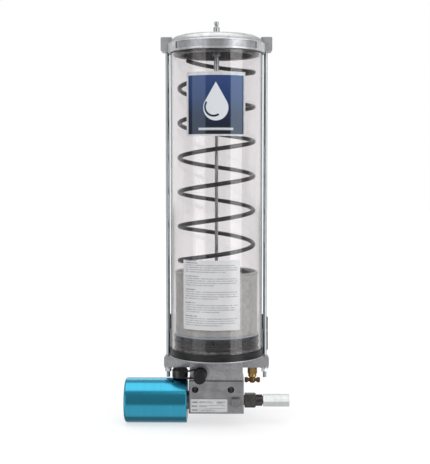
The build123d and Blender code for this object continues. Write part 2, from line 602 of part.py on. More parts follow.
def wall_bracket():
    """Flat steel plate behind the base: a broad head with two holes and a tongue for the block."""
    left, right = AXIS_X - BRACKET_HALF_WIDTH, AXIS_X + BRACKET_HALF_WIDTH
    tongue = HOLE_SPACING / 2 + 9.8
    step = BAR_BOTTOM + 6
    shape = make_face(Polyline(
        (-tongue, -14), (tongue, -14), (tongue, step), (right - 5, step), (right, step + 5),
        (right, BRACKET_TOP - 4), (right - 4, BRACKET_TOP), (left + 4, BRACKET_TOP),
        (left, BRACKET_TOP - 4), (left, step + 5), (left + 5, step), (-tongue, step), close=True))
    plate = extrude(Plane.XZ * shape, BRACKET_THICKNESS)
    behind = -BRACKET_THICKNESS - 1
    for side in (-1, 1):
        upper_x = AXIS_X + side * BRACKET_UPPER_SPACING / 2
        plate -= rod_y(HOLE_R, behind, 1, side * HOLE_SPACING / 2, 0)
        plate -= rod_y(HOLE_R, behind, 1, upper_x, BRACKET_TOP - 10)
    for x in bracket_screw_places():
        plate -= turned_y([(0, 0.01), (BRACKET_SCREW_HEAD_R + 0.2, 0.01), (BRACKET_SCREW_R + 0.2, -3.0),
                           (BRACKET_SCREW_R + 0.2, behind), (0, behind)], x, BRACKET_SCREW_Z)
    return plate


def bracket_screws():
    tip = -BRACKET_THICKNESS - BRACKET_SCREW_BITE
    return [turned_y([(0, -0.15), (BRACKET_SCREW_HEAD_R, -0.15), (BRACKET_SCREW_R, -3.0),
                      (BRACKET_SCREW_R, tip), (0, tip)], x, BRACKET_SCREW_Z)
            for x in bracket_screw_places()]


# Pump block -------------------------------------------------------------------------------------

def block_screw_places():
    for side in (-1, 1):
        x = AXIS_X + side * BLOCK_SCREW_SPACING / 2
        yield x, AXIS_Y - BLOCK_SCREW_FRONT
        yield x, AXIS_Y + BLOCK_SCREW_REAR


def block_screws():
    """Socket head screws from below that clamp the block to the neck."""
    head_top = BLOCK_BOTTOM + BLOCK_SCREW_SINK
    screws = []
    for x, y in block_screw_places():
        head = rod_z(BLOCK_SCREW_HEAD_R, BLOCK_BOTTOM + 1.0, head_top, x, y)
        head -= hex_z(4.0, BLOCK_BOTTOM, BLOCK_BOTTOM + 3.5, x, y)
        screws.append(head + rod_z(BLOCK_SCREW_R, head_top, NECK_BOTTOM + BLOCK_SCREW_BITE, x, y))
    return screws


def pump_block():
    body = block_between((BLOCK_LEFT, BLOCK_RIGHT), (BLOCK_FRONT_Y, AXIS_Y + BLOCK_REAR),
                         (BLOCK_BOTTOM, BLOCK_TOP))
    body = chamfer(body.edges().filter_by(Axis.Z), 1.2)
    for side in (-1, 1):
        x = side * HOLE_SPACING / 2
        body += rod_y(BOSS_R, AXIS_Y + BLOCK_REAR - 1, -BRACKET_THICKNESS, x, 0)
    for side in (-1, 1):
        body -= rod_y(HOLE_R, BLOCK_FRONT_Y - 1, 0, side * HOLE_SPACING / 2, 0)
    # Pump bore from left to right: head thread, chamber, outlet port
    body -= rod_x(HEAD_THREAD_R + FIT, BLOCK_LEFT - 1, HEAD_TIP)
    body -= rod_x(CHAMBER_R, HEAD_TIP - 1, PLUNGER_TIP + STROKE + CHAMBER_SPARE)
    body -= rod_x(ADAPTER_BORE_R, PLUNGER_TIP, BLOCK_RIGHT)
    body -= rod_x(PORT_R, BLOCK_RIGHT - PORT_DEPTH, BLOCK_RIGHT + 1)
    # Inlet down from the neck
    body -= rod_z(INLET_R, PUMP_Z, BLOCK_TOP + 1, INLET_X)
    body -= rod_z(OUTLET_R, BLOCK_TOP - 8, BLOCK_TOP + 1)
    for x, y in block_screw_places():
        body -= rod_z(BLOCK_SCREW_R + 0.2, BLOCK_BOTTOM - 1, BLOCK_TOP + 1, x, y)
        body -= rod_z(BLOCK_SCREW_HEAD_R + 0.3, BLOCK_BOTTOM - 1, BLOCK_BOTTOM + BLOCK_SCREW_SINK, x, y)
    body -= rod_y(PIPE_PLUG_THREAD_R + FIT, BLOCK_FRONT_Y - 1, BLOCK_FRONT_Y + PIPE_PLUG_THREAD + 0.5,
                  PIPE_PLUG_X, PIPE_PLUG_Z)
    return body


def pipe_plug():
    half = PIPE_PLUG_FLATS / 2
    head = block_between((PIPE_PLUG_X - half, PIPE_PLUG_X + half),
                         (BLOCK_FRONT_Y - PIPE_PLUG_HEAD, BLOCK_FRONT_Y),
                         (PIPE_PLUG_Z - half, PIPE_PLUG_Z + half))
    head = chamfer(head.faces().sort_by(Axis.Y)[0].edges(), 0.7)
    return head + rod_y(PIPE_PLUG_THREAD_R, BLOCK_FRONT_Y - 0.5, BLOCK_FRONT_Y + PIPE_PLUG_THREAD,
                        PIPE_PLUG_X, PIPE_PLUG_Z)


def name_plate():
    left = BLOCK_LEFT + PLATE_EDGE
    right = PIPE_PLUG_X - PIPE_PLUG_FLATS / 2 - PLATE_PLUG_GAP
    plate = extrude(RectangleRounded(right - left, PLATE_HEIGHT, 1.5), PLATE_THICKNESS)
    return Pos((left + right) / 2, BLOCK_FRONT_Y, PUMP_Z - PLATE_DROP) * Rot(90, 0, 0) * plate


# Air cylinder -----------------------------------------------------------------------------------

def air_cylinder():
    left, right, bore = CYLINDER_LEFT, CYLINDER_RIGHT, CYLINDER_BORE_R
    return turned_x([(left, AIR_PORT_R + 0.8), (left + 0.8, AIR_PORT_R), (left + CYLINDER_END, AIR_PORT_R),
                     (left + CYLINDER_END, bore), (right, bore), (right, CYLINDER_R - 0.8),
                     (right - 0.8, CYLINDER_R), (left + 3.0, CYLINDER_R), (left + 0.9, CYLINDER_R - 1.1),
                     (left, CYLINDER_R - 3.2)])


def cylinder_head():
    """Round head screwed into the barrel, with the boss that screws into the block."""
    outer = CYLINDER_BORE_R - FIT
    groove = HEAD_LEFT + 3.0
    seal_seat = HEAD_TIP - PLUNGER_SEAL_DEPTH
    relief = HEAD_THREAD_R - 1.6
    body = turned_x([(HEAD_LEFT, 0), (HEAD_LEFT, outer), (groove, outer), (groove, outer - 2.2),
                     (groove + 3.0, outer - 2.2), (groove + 3.0, outer), (CYLINDER_RIGHT - 0.4, outer),
                     (CYLINDER_RIGHT - 0.4, HEAD_BOSS_R), (BLOCK_LEFT, HEAD_BOSS_R),
                     (BLOCK_LEFT, relief), (BLOCK_LEFT + 2.4, relief), (BLOCK_LEFT + 2.4, HEAD_THREAD_R),
                     (HEAD_TIP, HEAD_THREAD_R), (HEAD_TIP, 0)])
    body -= rod_x(PLUNGER_R + FIT, HEAD_LEFT - 1, HEAD_TIP + 1)
    return body - rod_x(PLUNGER_SEAL_R + FIT, seal_seat, HEAD_TIP + 1)


def head_oring():
    outer = CYLINDER_BORE_R - FIT
    section = 1.1
    return Pos(HEAD_LEFT + 4.5, AXIS_Y, PUMP_Z) * Rot(0, 90, 0) * Torus(outer - section, section)


def boss_oring():
    section = 0.8
    return Pos(BLOCK_LEFT + 1.2, AXIS_Y, PUMP_Z) * Rot(0, 90, 0) * Torus(HEAD_THREAD_R - section, section)


def air_piston():
    outer = CYLINDER_BORE_R - 0.3
    left, right = PISTON_LEFT, PISTON_RIGHT
    groove = left + 4.5
    socket_r = PLUNGER_TAIL_R + FIT
    return turned_x([
        (left, 0), (left, outer - 3), (left + 1.5, outer), (groove, outer), (groove, outer - 3.5),
        (groove + 4.5, outer - 3.5), (groove + 4.5, outer), (right, outer), (right, outer - 3.0),
        (right - 4.0, outer - 3.0), (right - 4.0, PLUNGER_R + 4.5), (right, PLUNGER_R + 4.5),
        (right, socket_r), (right - 8.0, socket_r), (right - 8.0, 0)])


def piston_seal():
    outer = CYLINDER_BORE_R - 0.3
    lip = outer + 0.22
    left = PISTON_LEFT + 4.6
    return turned_x([(left, outer - 3.4), (left, lip), (left + 1.2, lip), (left + 2.1, outer - 0.5),
                     (left + 3.1, lip), (left + 4.3, lip), (left + 4.3, outer - 3.4)])


def pump_plunger():
    tail = PISTON_RIGHT - 8.0
    return turned_x([(tail, 0), (tail, PLUNGER_TAIL_R), (PISTON_RIGHT, PLUNGER_TAIL_R),
                     (PISTON_RIGHT, PLUNGER_R), (PLUNGER_TIP - 0.8, PLUNGER_R),
                     (PLUNGER_TIP, PLUNGER_R - 0.8), (PLUNGER_TIP, 0)])


def plunger_seal():
    left, right = HEAD_TIP - PLUNGER_SEAL_DEPTH + 0.1, HEAD_TIP - 0.1
    lip = PLUNGER_R + 0.08
    return turned_x([(left, lip), (left, PLUNGER_SEAL_R), (right, PLUNGER_SEAL_R),
                     (right - 2.3, (PLUNGER_SEAL_R + lip) / 2), (right, lip)])


def return_spring():
    start = PISTON_RIGHT - 4.0
    return coil(RETURN_WIRE, RETURN_R, HEAD_LEFT - start, RETURN_TURNS,
                Pos(start, AXIS_Y, PUMP_Z) * Rot(0, 90, 0))


# Outlet side ------------------------------------------------------------------------------------

def outlet_adapter():
    body = hex_x(ADAPTER_FLATS, ADAPTER_LEFT, ADAPTER_SHOULDER, 0.8, 1.6)
    body += rod_x(PORT_R - FIT, BLOCK_RIGHT - 12.0, ADAPTER_LEFT)
    body += rod_x(ADAPTER_NECK_R, ADAPTER_SHOULDER, VALVE_LEFT - 1.0)
    body += rod_x(ADAPTER_TAIL_R, VALVE_LEFT - 1.0, VALVE_LEFT + ADAPTER_TAIL)
    return body - rod_x(ADAPTER_BORE_R, BLOCK_RIGHT - 13.0, VALVE_LEFT + ADAPTER_TAIL + 1)


def check_valve_body():
    body = hex_x(VALVE_FLATS, VALVE_LEFT, VALVE_RIGHT, 0.7, 0.7)
    body -= rod_x(ADAPTER_TAIL_R + FIT, VALVE_LEFT - 1, VALVE_SEAT - VALVE_SEAT_LENGTH)
    body -= rod_x(VALVE_SEAT_R, VALVE_LEFT, VALVE_SEAT + 1)
    body -= rod_x(VALVE_CHAMBER_R, VALVE_SEAT, VALVE_RIGHT - 1)
    body -= rod_x(VALVE_PORT_R, VALVE_RIGHT - VALVE_PORT_DEPTH, VALVE_RIGHT + 1)
    return body


def ball_stand_off(ball_r, seat_r):
    """Distance from the seat's edge plane to the centre of a ball resting on it."""
    return math.sqrt((ball_r + BALL_GAP) ** 2 - seat_r ** 2)


def check_ball():
    middle = VALVE_SEAT + ball_stand_off(VALVE_BALL_R, VALVE_SEAT_R)
    return Pos(middle, AXIS_Y, PUMP_Z) * Sphere(VALVE_BALL_R)


def check_retainer():
    right = VALVE_RIGHT - VALVE_PORT_DEPTH
    left = right - VALVE_RETAINER
    outer = VALVE_CHAMBER_R - FIT
    return turned_x([(left, 1.8), (left, outer), (right, outer), (right, 1.8)])


def check_spring():
    start = VALVE_SEAT + ball_stand_off(VALVE_BALL_R, VALVE_SEAT_R) + VALVE_BALL_R - 1.0
    length = VALVE_RIGHT - VALVE_PORT_DEPTH - VALVE_RETAINER - start
    return coil(0.5, VALVE_BALL_R - 0.3, length, 4.0, Pos(start, AXIS_Y, PUMP_Z) * Rot(0, 90, 0))


# Ports under the lugs ---------------------------------------------------------------------------

def drain_cock_body():
    bottom = BAR_BOTTOM - DRAIN_BODY
    collar_r = DRAIN_FLATS / 2
    body = hex_z(DRAIN_FLATS, bottom + 4.5, BAR_BOTTOM - 0.4, DRAIN_X, AXIS_Y)
    body += turned_z([(0, bottom), (collar_r - 1.0, bottom), (collar_r, bottom + 1.0),
                      (collar_r, bottom + 4.5), (0, bottom + 4.5)], DRAIN_X)
    body += rod_z(LUG_PORT_R, BAR_BOTTOM - 0.4, BAR_BOTTOM + LUG_PORT_DEPTH, DRAIN_X)
    body -= rod_z(DRAIN_BORE_R + FIT, bottom - 1, BAR_BOTTOM, DRAIN_X)
    return body - rod_z(1.4, BAR_BOTTOM - 1, BAR_BOTTOM + LUG_PORT_DEPTH + 1, DRAIN_X)


def drain_screw():
    """Screw with a wing handle; turning it lifts its cone off the seat inside the body."""
    tip = BAR_BOTTOM - 0.5
    wing_top = BAR_BOTTOM - DRAIN_BODY - SEAT
    wing_bottom = wing_top - WING_HEIGHT
    stem = turned_z([(0, wing_top - 2), (DRAIN_BORE_R, wing_top - 2), (DRAIN_BORE_R, tip - 1.4),
                     (1.2, tip), (0, tip)], DRAIN_X)
    hub = turned_z([(0, wing_bottom), (2.6, wing_bottom), (3.8, wing_bottom + 1.5), (3.8, wing_top),
                    (0, wing_top)], DRAIN_X)
    half = WING_SPAN / 2
    middle = (wing_top + wing_bottom) / 2
    leaf = make_face(Polyline(
        (-half, middle - 2.6), (-half + 2.5, middle - 3.4), (-4, middle - 1.6), (4, middle - 1.6),
        (half - 2.5, middle - 3.4), (half, middle - 2.6), (half, middle + 2.6),
        (half - 2.5, middle + 3.4), (4, middle + 1.8), (-4, middle + 1.8),
        (-half + 2.5, middle + 3.4), (-half, middle + 2.6), close=True))
    wings = Pos(DRAIN_X, AXIS_Y + WING_THICKNESS / 2, 0) * extrude(Plane.XZ * leaf, WING_THICKNESS)
    return stem + hub + wings


def port_plug():
    """Round plastic plug with a neck that carries the cap strap's ring."""
    top = BAR_BOTTOM
    shoulder = top - 3.0
    bottom = shoulder - PLUG_HEIGHT
    return turned_z([(0, bottom), (PLUG_R - 1.0, bottom), (PLUG_R, bottom + 1.0), (PLUG_R, shoulder - 1.0),
                     (PLUG_R - 1.0, shoulder), (PLUG_NECK_R, shoulder), (PLUG_NECK_R, top),
                     (LUG_PORT_R, top), (LUG_PORT_R, top + LUG_PORT_DEPTH),
                     (0, top + LUG_PORT_DEPTH)], PLUG_X)


# Fill nipple and cap ----------------------------------------------------------------------------

def fill_nipple():
    front, collar, rear = FILL_TIP_Y, NECK_FRONT_Y - FILL_COLLAR, NECK_FRONT_Y + FILL_THREAD
    waist = FILL_STUD_R - 0.9
    body = turned_y([(0, front), (FILL_STUD_R - 0.8, front), (FILL_STUD_R, front + 0.8),
                     (FILL_STUD_R, front + 4), (waist, front + 5), (waist, front + 8),
                     (FILL_STUD_R, front + 9), (FILL_STUD_R, collar), (FILL_COLLAR_R, collar),
                     (FILL_COLLAR_R, NECK_FRONT_Y), (FILL_THREAD_R, NECK_FRONT_Y),
                     (FILL_THREAD_R, rear), (0, rear)], FILL_X, FILL_Z)
    body -= rod_y(FILL_BORE_R, front - 1, rear + 1, FILL_X, FILL_Z)
    return body - rod_y(FILL_CAVITY_R, FILL_SEAT_Y, rear + 1, FILL_X, FILL_Z)


def fill_ball():
    middle = FILL_SEAT_Y + ball_stand_off(FILL_BALL_R, FILL_BORE_R)
    return Pos(FILL_X, middle, FILL_Z) * Sphere(FILL_BALL_R)


def fill_spring_retainer():
    rear = NECK_FRONT_Y + FILL_THREAD
    outer = FILL_CAVITY_R - FIT
    return turned_y([(1.2, rear - 1.2), (outer, rear - 1.2), (outer, rear), (1.2, rear)], FILL_X, FILL_Z)


def fill_spring():
    start = FILL_SEAT_Y + ball_stand_off(FILL_BALL_R, FILL_BORE_R) + FILL_BALL_R - 0.7
    length = NECK_FRONT_Y + FILL_THREAD - 1.2 - start
    return coil(0.5, FILL_BALL_R - 0.1, length, 9.0, Pos(FILL_X, start, FILL_Z) * Rot(-90, 0, 0))


def dust_cap():
    """Push-on rubber cap over the fill nipple, with a groove for the strap."""
    rear = CAP_REAR_Y
    front = rear - (CAP_LENGTH - FILL_COLLAR)
    bore = FILL_STUD_R + FIT
    groove = CAP_R - 1.2
    return turned_y([(0, front), (CAP_R - 1.6, front), (CAP_R - 0.2, front + 0.8),
                     (CAP_R + 0.4, front + 2.4), (CAP_R + 0.2, rear - 8), (CAP_R, rear - 4.0),
                     (groove, rear - 4.0), (groove, rear - 1.2), (CAP_R, rear - 1.2), (CAP_R, rear),
                     (bore, rear), (bore, front + CAP_END), (0, front + CAP_END)], FILL_X, FILL_Z)


def cap_tether():
    """Rubber strap: a ring in the cap's groove, two strands, and a ring round the plug's neck."""
    ring_y = CAP_REAR_Y - 2.6
    ring = turned_y([(CAP_R - 1.1, ring_y - 1.2), (CAP_R + 1.3, ring_y - 1.2), (CAP_R + 1.3, ring_y + 1.2),
                     (CAP_R - 1.1, ring_y + 1.2)], FILL_X, FILL_Z)
    anchor_low, anchor_high = BAR_BOTTOM - 2.7, BAR_BOTTOM - 0.3
    anchor = ring_z(ANCHOR_R, PLUG_NECK_R + 0.1, anchor_low, anchor_high, PLUG_X)
    tab_x, tab_y = PLUG_X + 4.0, AXIS_Y - PLUG_R - 2.0
    tab_bottom = BAR_BOTTOM - 13.2
    tab = block_between((tab_x - 3, tab_x + 3), (tab_y - 1.2, AXIS_Y - 7.0), (anchor_low, anchor_high))
    tab += block_between((tab_x - 3, tab_x + 3), (tab_y - 1.2, tab_y + 1.2), (tab_bottom, anchor_high))
    strap = ring + anchor + tab
    corner_x, corner_y = AXIS_X - NECK_HALF_WIDTH - 2.5, NECK_FRONT_Y - 1.5
    for start_z, end_z in ((FILL_Z + 5.4, anchor_low - 1.2), (FILL_Z - 5.4, tab_bottom + 2.2)):
        route = [(FILL_X - 6.2, ring_y, start_z), (corner_x, corner_y, 0.4 * start_z + 0.6 * end_z),
                 (tab_x + 1.0, tab_y, end_z)]
        for start, end in zip(route, route[1:]):
            run = Line(start, end)
            strap += sweep(Plane(origin=start, z_dir=run % 0) * Circle(STRAND_R), path=run)
            strap += Pos(*end) * Sphere(STRAND_R)
    return strap


# Print ------------------------------------------------------------------------------------------

def front_decal():
    width, height = DECAL_SIZE
    return tube_film(width, height, TUBE_TOP - DECAL_TOP_DROP - height, 0)


def ruled_label():
    width, height = LABEL_SIZE
    return tube_film(width, height, TUBE_BOTTOM + LABEL_BOTTOM_RISE, LABEL_TURN)


# Writing ----------------------------------------------------------------------------------------

PIECES = [
    reservoir_cover, cover_gasket, vent_fitting, reservoir_tube, base_gasket, tie_rods, tie_rod_washers,
    tie_rod_nuts, guide_rod, rod_sleeve, follower_cup, rod_wiper, follower_seal, follower_retainer,
    retainer_screws, follower_spring, base_casting, neck_gasket, wall_bracket, bracket_screws, block_screws,
    pump_block, pipe_plug, name_plate, air_cylinder, cylinder_head, head_oring, boss_oring, air_piston,
    piston_seal, pump_plunger, plunger_seal, return_spring, outlet_adapter, check_valve_body, check_ball,
    check_retainer, check_spring, drain_cock_body, drain_screw, port_plug, fill_nipple, fill_ball,
    fill_spring_retainer, fill_spring, dust_cap, cap_tether, front_decal, ruled_label,
]


def as_one(shape):
    """A piece that is a group of separate solids becomes one compound."""
    return Compound(children=shape) if isinstance(shape, list) else shape


os.makedirs("parts", exist_ok=True)
for piece in PIECES:
    export_step(as_one(piece()), f"parts/{piece.__name__}.step")
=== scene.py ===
import json
import math
import bmesh
import bpy
from mathutils import Matrix, Vector


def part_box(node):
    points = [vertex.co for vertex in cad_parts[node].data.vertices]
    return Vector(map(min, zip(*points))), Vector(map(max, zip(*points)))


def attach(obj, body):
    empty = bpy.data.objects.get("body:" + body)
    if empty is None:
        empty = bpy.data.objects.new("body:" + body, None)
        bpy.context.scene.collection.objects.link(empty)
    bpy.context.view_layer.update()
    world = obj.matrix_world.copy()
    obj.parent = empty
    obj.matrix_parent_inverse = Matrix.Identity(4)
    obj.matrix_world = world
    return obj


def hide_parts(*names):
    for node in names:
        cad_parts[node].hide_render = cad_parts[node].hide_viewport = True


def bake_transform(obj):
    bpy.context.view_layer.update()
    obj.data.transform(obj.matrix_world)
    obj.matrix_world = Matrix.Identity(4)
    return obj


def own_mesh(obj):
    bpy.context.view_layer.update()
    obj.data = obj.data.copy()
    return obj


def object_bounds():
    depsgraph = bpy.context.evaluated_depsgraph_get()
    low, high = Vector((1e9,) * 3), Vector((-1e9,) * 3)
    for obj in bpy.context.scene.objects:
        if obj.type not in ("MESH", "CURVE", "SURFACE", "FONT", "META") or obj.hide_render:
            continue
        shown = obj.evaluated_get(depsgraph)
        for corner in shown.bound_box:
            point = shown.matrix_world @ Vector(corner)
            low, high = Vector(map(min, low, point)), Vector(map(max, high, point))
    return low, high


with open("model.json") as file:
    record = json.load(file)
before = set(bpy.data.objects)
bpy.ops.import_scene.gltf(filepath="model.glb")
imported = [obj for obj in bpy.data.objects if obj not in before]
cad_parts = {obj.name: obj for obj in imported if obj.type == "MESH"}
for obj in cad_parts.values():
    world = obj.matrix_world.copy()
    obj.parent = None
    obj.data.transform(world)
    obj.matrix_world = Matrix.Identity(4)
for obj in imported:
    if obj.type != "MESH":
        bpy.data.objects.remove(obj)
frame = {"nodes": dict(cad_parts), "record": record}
cad_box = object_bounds()


# Camera, table and light ------------------------------------------------------------------------
# The lubricator stands against a plain white studio, seen square from the front with a long lens.
# Two tall strip boxes give the reservoir its stripes, and one broad box hangs overhead.

def joined(tree, socket, value):
    """Puts a plain value on an input, or links another node's output to it."""
    if isinstance(value, bpy.types.NodeSocket):
        tree.links.new(value, socket)
    else:
        socket.default_value = value


def node(tree, kind, *inputs, **named):
    """A new node: unnamed inputs go in order, and names are inputs or the node's own settings."""
    made = tree.nodes.new("ShaderNode" + kind if not kind.startswith("NodeGroup") else kind)
    for name, value in named.items():
        if hasattr(made, name):
            setattr(made, name, value)
    for name, value in named.items():
        label = name.replace("_", " ")
        if not hasattr(made, name) and label in made.inputs:
            joined(tree, made.inputs[label], value)
        elif not hasattr(made, name):
            raise ValueError(f"{kind} has nothing called {name}")
    for socket, value in zip(made.inputs, inputs):
        if value is not None:
            joined(tree, socket, value)
    return made


def sums(tree, operation, *values, clamp=False):
    """The result of one Math node."""
    return node(tree, "Math", *values, operation=operation, use_clamp=clamp).outputs[0]


def product(tree, *values):
    """All the values multiplied together."""
    total = values[0]
    for value in values[1:]:
        total = sums(tree, "MULTIPLY", total, value)
    return total


def spread(tree, value, *ends, **named):
    """Carries value from one span to another, which is 0 to 1 unless it is given too."""
    return node(tree, "MapRange", value, *ends, **named).outputs[0]


def noise(tree, place=None, **named):
    """Cloudy noise from 0 to 1 at a place."""
    return node(tree, "TexNoise", place, **named).outputs["Fac"]


def ramp(tree, factor, *stops, smooth=True):
    """A colour ramp from (place, colour or grey) stops."""
    made = node(tree, "ValToRGB", factor)
    band = made.color_ramp
    band.interpolation = "EASE" if smooth else "LINEAR"
    while len(band.elements) < len(stops):
        band.elements.new(0.5)
    for element, (place, colour) in zip(band.elements, stops):
        element.position = place
        element.color = (*colour, 1) if isinstance(colour, tuple) else (colour, colour, colour, 1)
    return made.outputs["Color"]


def mixed(tree, factor, first, second, blend="MIX"):
    """Colour between two others, by factor."""
    made = node(tree, "Mix", data_type="RGBA", blend_type=blend)
    for socket, value in ((made.inputs[0], factor), (made.inputs[6], first), (made.inputs[7], second)):
        joined(tree, socket, (*value, 1) if isinstance(value, tuple) and len(value) == 3 else value)
    return made.outputs[2]


def placed(name, data):
    """A new object with this data, in the scene."""
    made = bpy.data.objects.new(name, data)
    bpy.context.collection.objects.link(made)
    return made


camera = placed("camera", bpy.data.cameras.new("camera"))
camera.location = (0.0208, -1.2607, 0.2699)
camera.rotation_euler = (math.radians(90 - 3.6), 0, math.radians(0.9))
camera.data.lens = 73.7
bpy.context.scene.camera = camera
bpy.context.scene.view_settings.view_transform = "Standard"

world = bpy.data.worlds.new("studio")
bpy.context.scene.world = world
world.use_nodes = True
tree = world.node_tree
tree.nodes.clear()
rays = node(tree, "LightPath")
direction = node(tree, "SeparateXYZ", node(tree, "TexCoord").outputs["Generated"])
# Round from below (-90) through the front (0) to overhead (90) and the back (180), in degrees
round_about = sums(tree, "ARCTAN2", direction.outputs["Z"],
                   sums(tree, "MULTIPLY", direction.outputs["Y"], -1.0))
round_about = spread(tree, round_about, -math.pi, math.pi)
studio = [(-180, 0.95), (-168, 0.80), (-154, 0.38), (-126, 0.34), (-118, 0.22), (-88, 0.22), (-76, 0.66),
          (-18, 0.68), (-10, 0.25), (57, 0.27), (64, 0.46), (154, 0.46), (168, 0.80), (180, 0.95)]
seen_in_gloss = ramp(tree, round_about, *[((angle + 180) / 360, grey) for angle, grey in studio])
# Straight through, or through clear plastic alone, the studio is white; a bounce sees its light
bounced = sums(tree, "GREATER_THAN", rays.outputs["Diffuse Depth"], 0.5)
mirrored = sums(tree, "GREATER_THAN", rays.outputs["Glossy Depth"], 0.5)
light = mixed(tree, mirrored, (1.0, 1.0, 1.0), seen_in_gloss)
light = mixed(tree, bounced, light, (0.52, 0.52, 0.53))
backdrop = node(tree, "Background", light, 1.0)
tree.links.new(backdrop.outputs[0], node(tree, "OutputWorld").inputs[0])

AXIS = Vector((4.0, -73.15, 0)) / 1000      # the reservoir's axis


def lamp(name, azimuth, elevation, distance, size, radiance, aim=0.2):
    """A flat soft box; azimuth runs from the front towards the right, radiance is its brightness."""
    data = bpy.data.lights.new(name, "AREA")
    data.shape = "RECTANGLE"
    data.size, data.size_y = size
    data.energy = radiance * math.pi * size[0] * size[1]
    made = placed(name, data)
    turn, rise = math.radians(azimuth), math.radians(elevation)
    target = AXIS + Vector((0, 0, aim))
    away = Vector((math.sin(turn) * math.cos(rise), -math.cos(turn) * math.cos(rise), math.sin(rise)))
    made.location = target + distance * away
    made.rotation_euler = away.to_track_quat("Z", "Y").to_euler()
    return made


lamp("right_strip", 51, 2, 1.7, (0.95, 1.5), 2.3)
lamp("left_strip", -43, 2, 1.7, (1.05, 1.5), 1.1)
lamp("top_box", 0, 83, 1.5, (2.4, 1.4), 1.0, aim=0.0)
lamp("front_box", 8, 47, 1.7, (0.55, 0.28), 0.98, aim=0.0)
lamp("back_fill", 180, 30, 1.9, (1.2, 0.8), 0.8)

table = placed("table", bpy.data.meshes.new("table"))
floor = cad_box[0][2] - 0.0004
corners = [(x, y, floor) for x, y in ((-6, -6), (6, -6), (6, 6), (-6, 6))]
table.data.from_pydata(corners, [], [(0, 1, 2, 3)])
table.visible_glossy = False
white = bpy.data.materials.new("white_table")
white.use_nodes = True
tree = white.node_tree
rays = node(tree, "LightPath")
bounces = sums(tree, "ADD", rays.outputs["Diffuse Depth"], rays.outputs["Glossy Depth"])
seen = sums(tree, "LESS_THAN", bounces, 0.5)
grain = noise(tree, Scale=30.0, Detail=3.0)
surface = tree.nodes["Principled BSDF"]
surface.inputs["Roughness"].default_value = 0.9
surface.inputs["Specular IOR Level"].default_value = 0.0
joined(tree, surface.inputs["Base Color"],
       mixed(tree, seen, ramp(tree, grain, (0.0, 0.70), (1.0, 0.74)), (0.50, 0.50, 0.50)))
# It glows less close to the lubricator, so that the soft shadow still shows there
place = node(tree, "TexCoord").outputs["Object"]
away = node(tree, "VectorMath", place, operation="LENGTH").outputs["Value"]
glow = ramp(tree, away, (0.25, 0.60), (0.75, 0.78))
surface.inputs["Emission Strength"].default_value = 1.0
joined(tree, surface.inputs["Emission Color"], mixed(tree, seen, (0.0, 0.0, 0.0), glow))
table.data.materials.append(white)


# Base casting, wall bracket and their gasket ----------------------------------------------------
# The base is one sand cast aluminium piece: round seat, cross bar, neck and rear wall, bare and
# tumbled. Two countersunk screws hold it to a flat steel plate painted black.

MM = 0.001
record = frame["record"]
body_of = {name: body for body, names in record["behaviour"]["bodies"].items() for name in names}


def effect(name, inputs, outputs):
    """An empty shader node group with these sockets; gives it, its input node and its output node."""
    group = bpy.data.node_groups.new(name, "ShaderNodeTree")
    for label, value in inputs.items():
        kind = "NodeSocketVector" if isinstance(value, tuple) else "NodeSocketFloat"
        group.interface.new_socket(label, in_out="INPUT", socket_type=kind).default_value = value
    for label in outputs:
        kind = "NodeSocketVector" if label == "Normal" else "NodeSocketFloat"
        group.interface.new_socket(label, in_out="OUTPUT", socket_type=kind)
    return group, node(group, "NodeGroupInput"), node(group, "NodeGroupOutput")


def use(tree, group, **values):
    """Places a shared effect in a material with its own values."""
    return node(tree, "Group", node_tree=group, **values).outputs


# Sand cast skin: fine sharp grain, and slow blotches where the metal chilled unevenly
cast_skin, given, result = effect("cast skin", {"Grain": 1.0, "Blotch": 12.0}, ("Height", "Mottle"))
place = node(cast_skin, "TexCoord").outputs["Object"]
fineness = sums(cast_skin, "DIVIDE", 1000.0, given.outputs["Grain"])
grain = noise(cast_skin, place, Scale=fineness, Detail=6.0, Roughness=0.62)
pits = node(cast_skin, "TexVoronoi", place, Scale=product(cast_skin, fineness, 0.7),
            Randomness=1.0).outputs["Distance"]
spacing = sums(cast_skin, "DIVIDE", 1000.0, given.outputs["Blotch"])
blotch = noise(cast_skin, place, Scale=spacing, Detail=4.0, Roughness=0.7, Distortion=0.6)
joined(cast_skin, result.inputs["Height"], sums(cast_skin, "ADD", grain, product(cast_skin, pits, 0.35)))
joined(cast_skin, result.inputs["Mottle"], spread(cast_skin, blotch, 0.32, 0.68))

# Bright rubbed metal along outside edges, from how far a rounded normal leans from the true one
worn_edges, given, result = effect("worn edges", {"Radius": 0.0006, "Reach": 6.0}, ("Mask",))
rounded = node(worn_edges, "Bevel", samples=4, Radius=given.outputs["Radius"]).outputs[0]
lean = node(worn_edges, "VectorMath", rounded, node(worn_edges, "NewGeometry").outputs["Normal"],
            operation="DOT_PRODUCT").outputs["Value"]
place = node(worn_edges, "TexCoord").outputs["Object"]
patchy = noise(worn_edges, place, Scale=260.0, Detail=3.0)
lean = product(worn_edges, sums(worn_edges, "SUBTRACT", 1.0, lean), given.outputs["Reach"])
joined(worn_edges, result.inputs["Mask"],
       sums(worn_edges, "MULTIPLY", lean, product(worn_edges, patchy, 1.7), clamp=True))

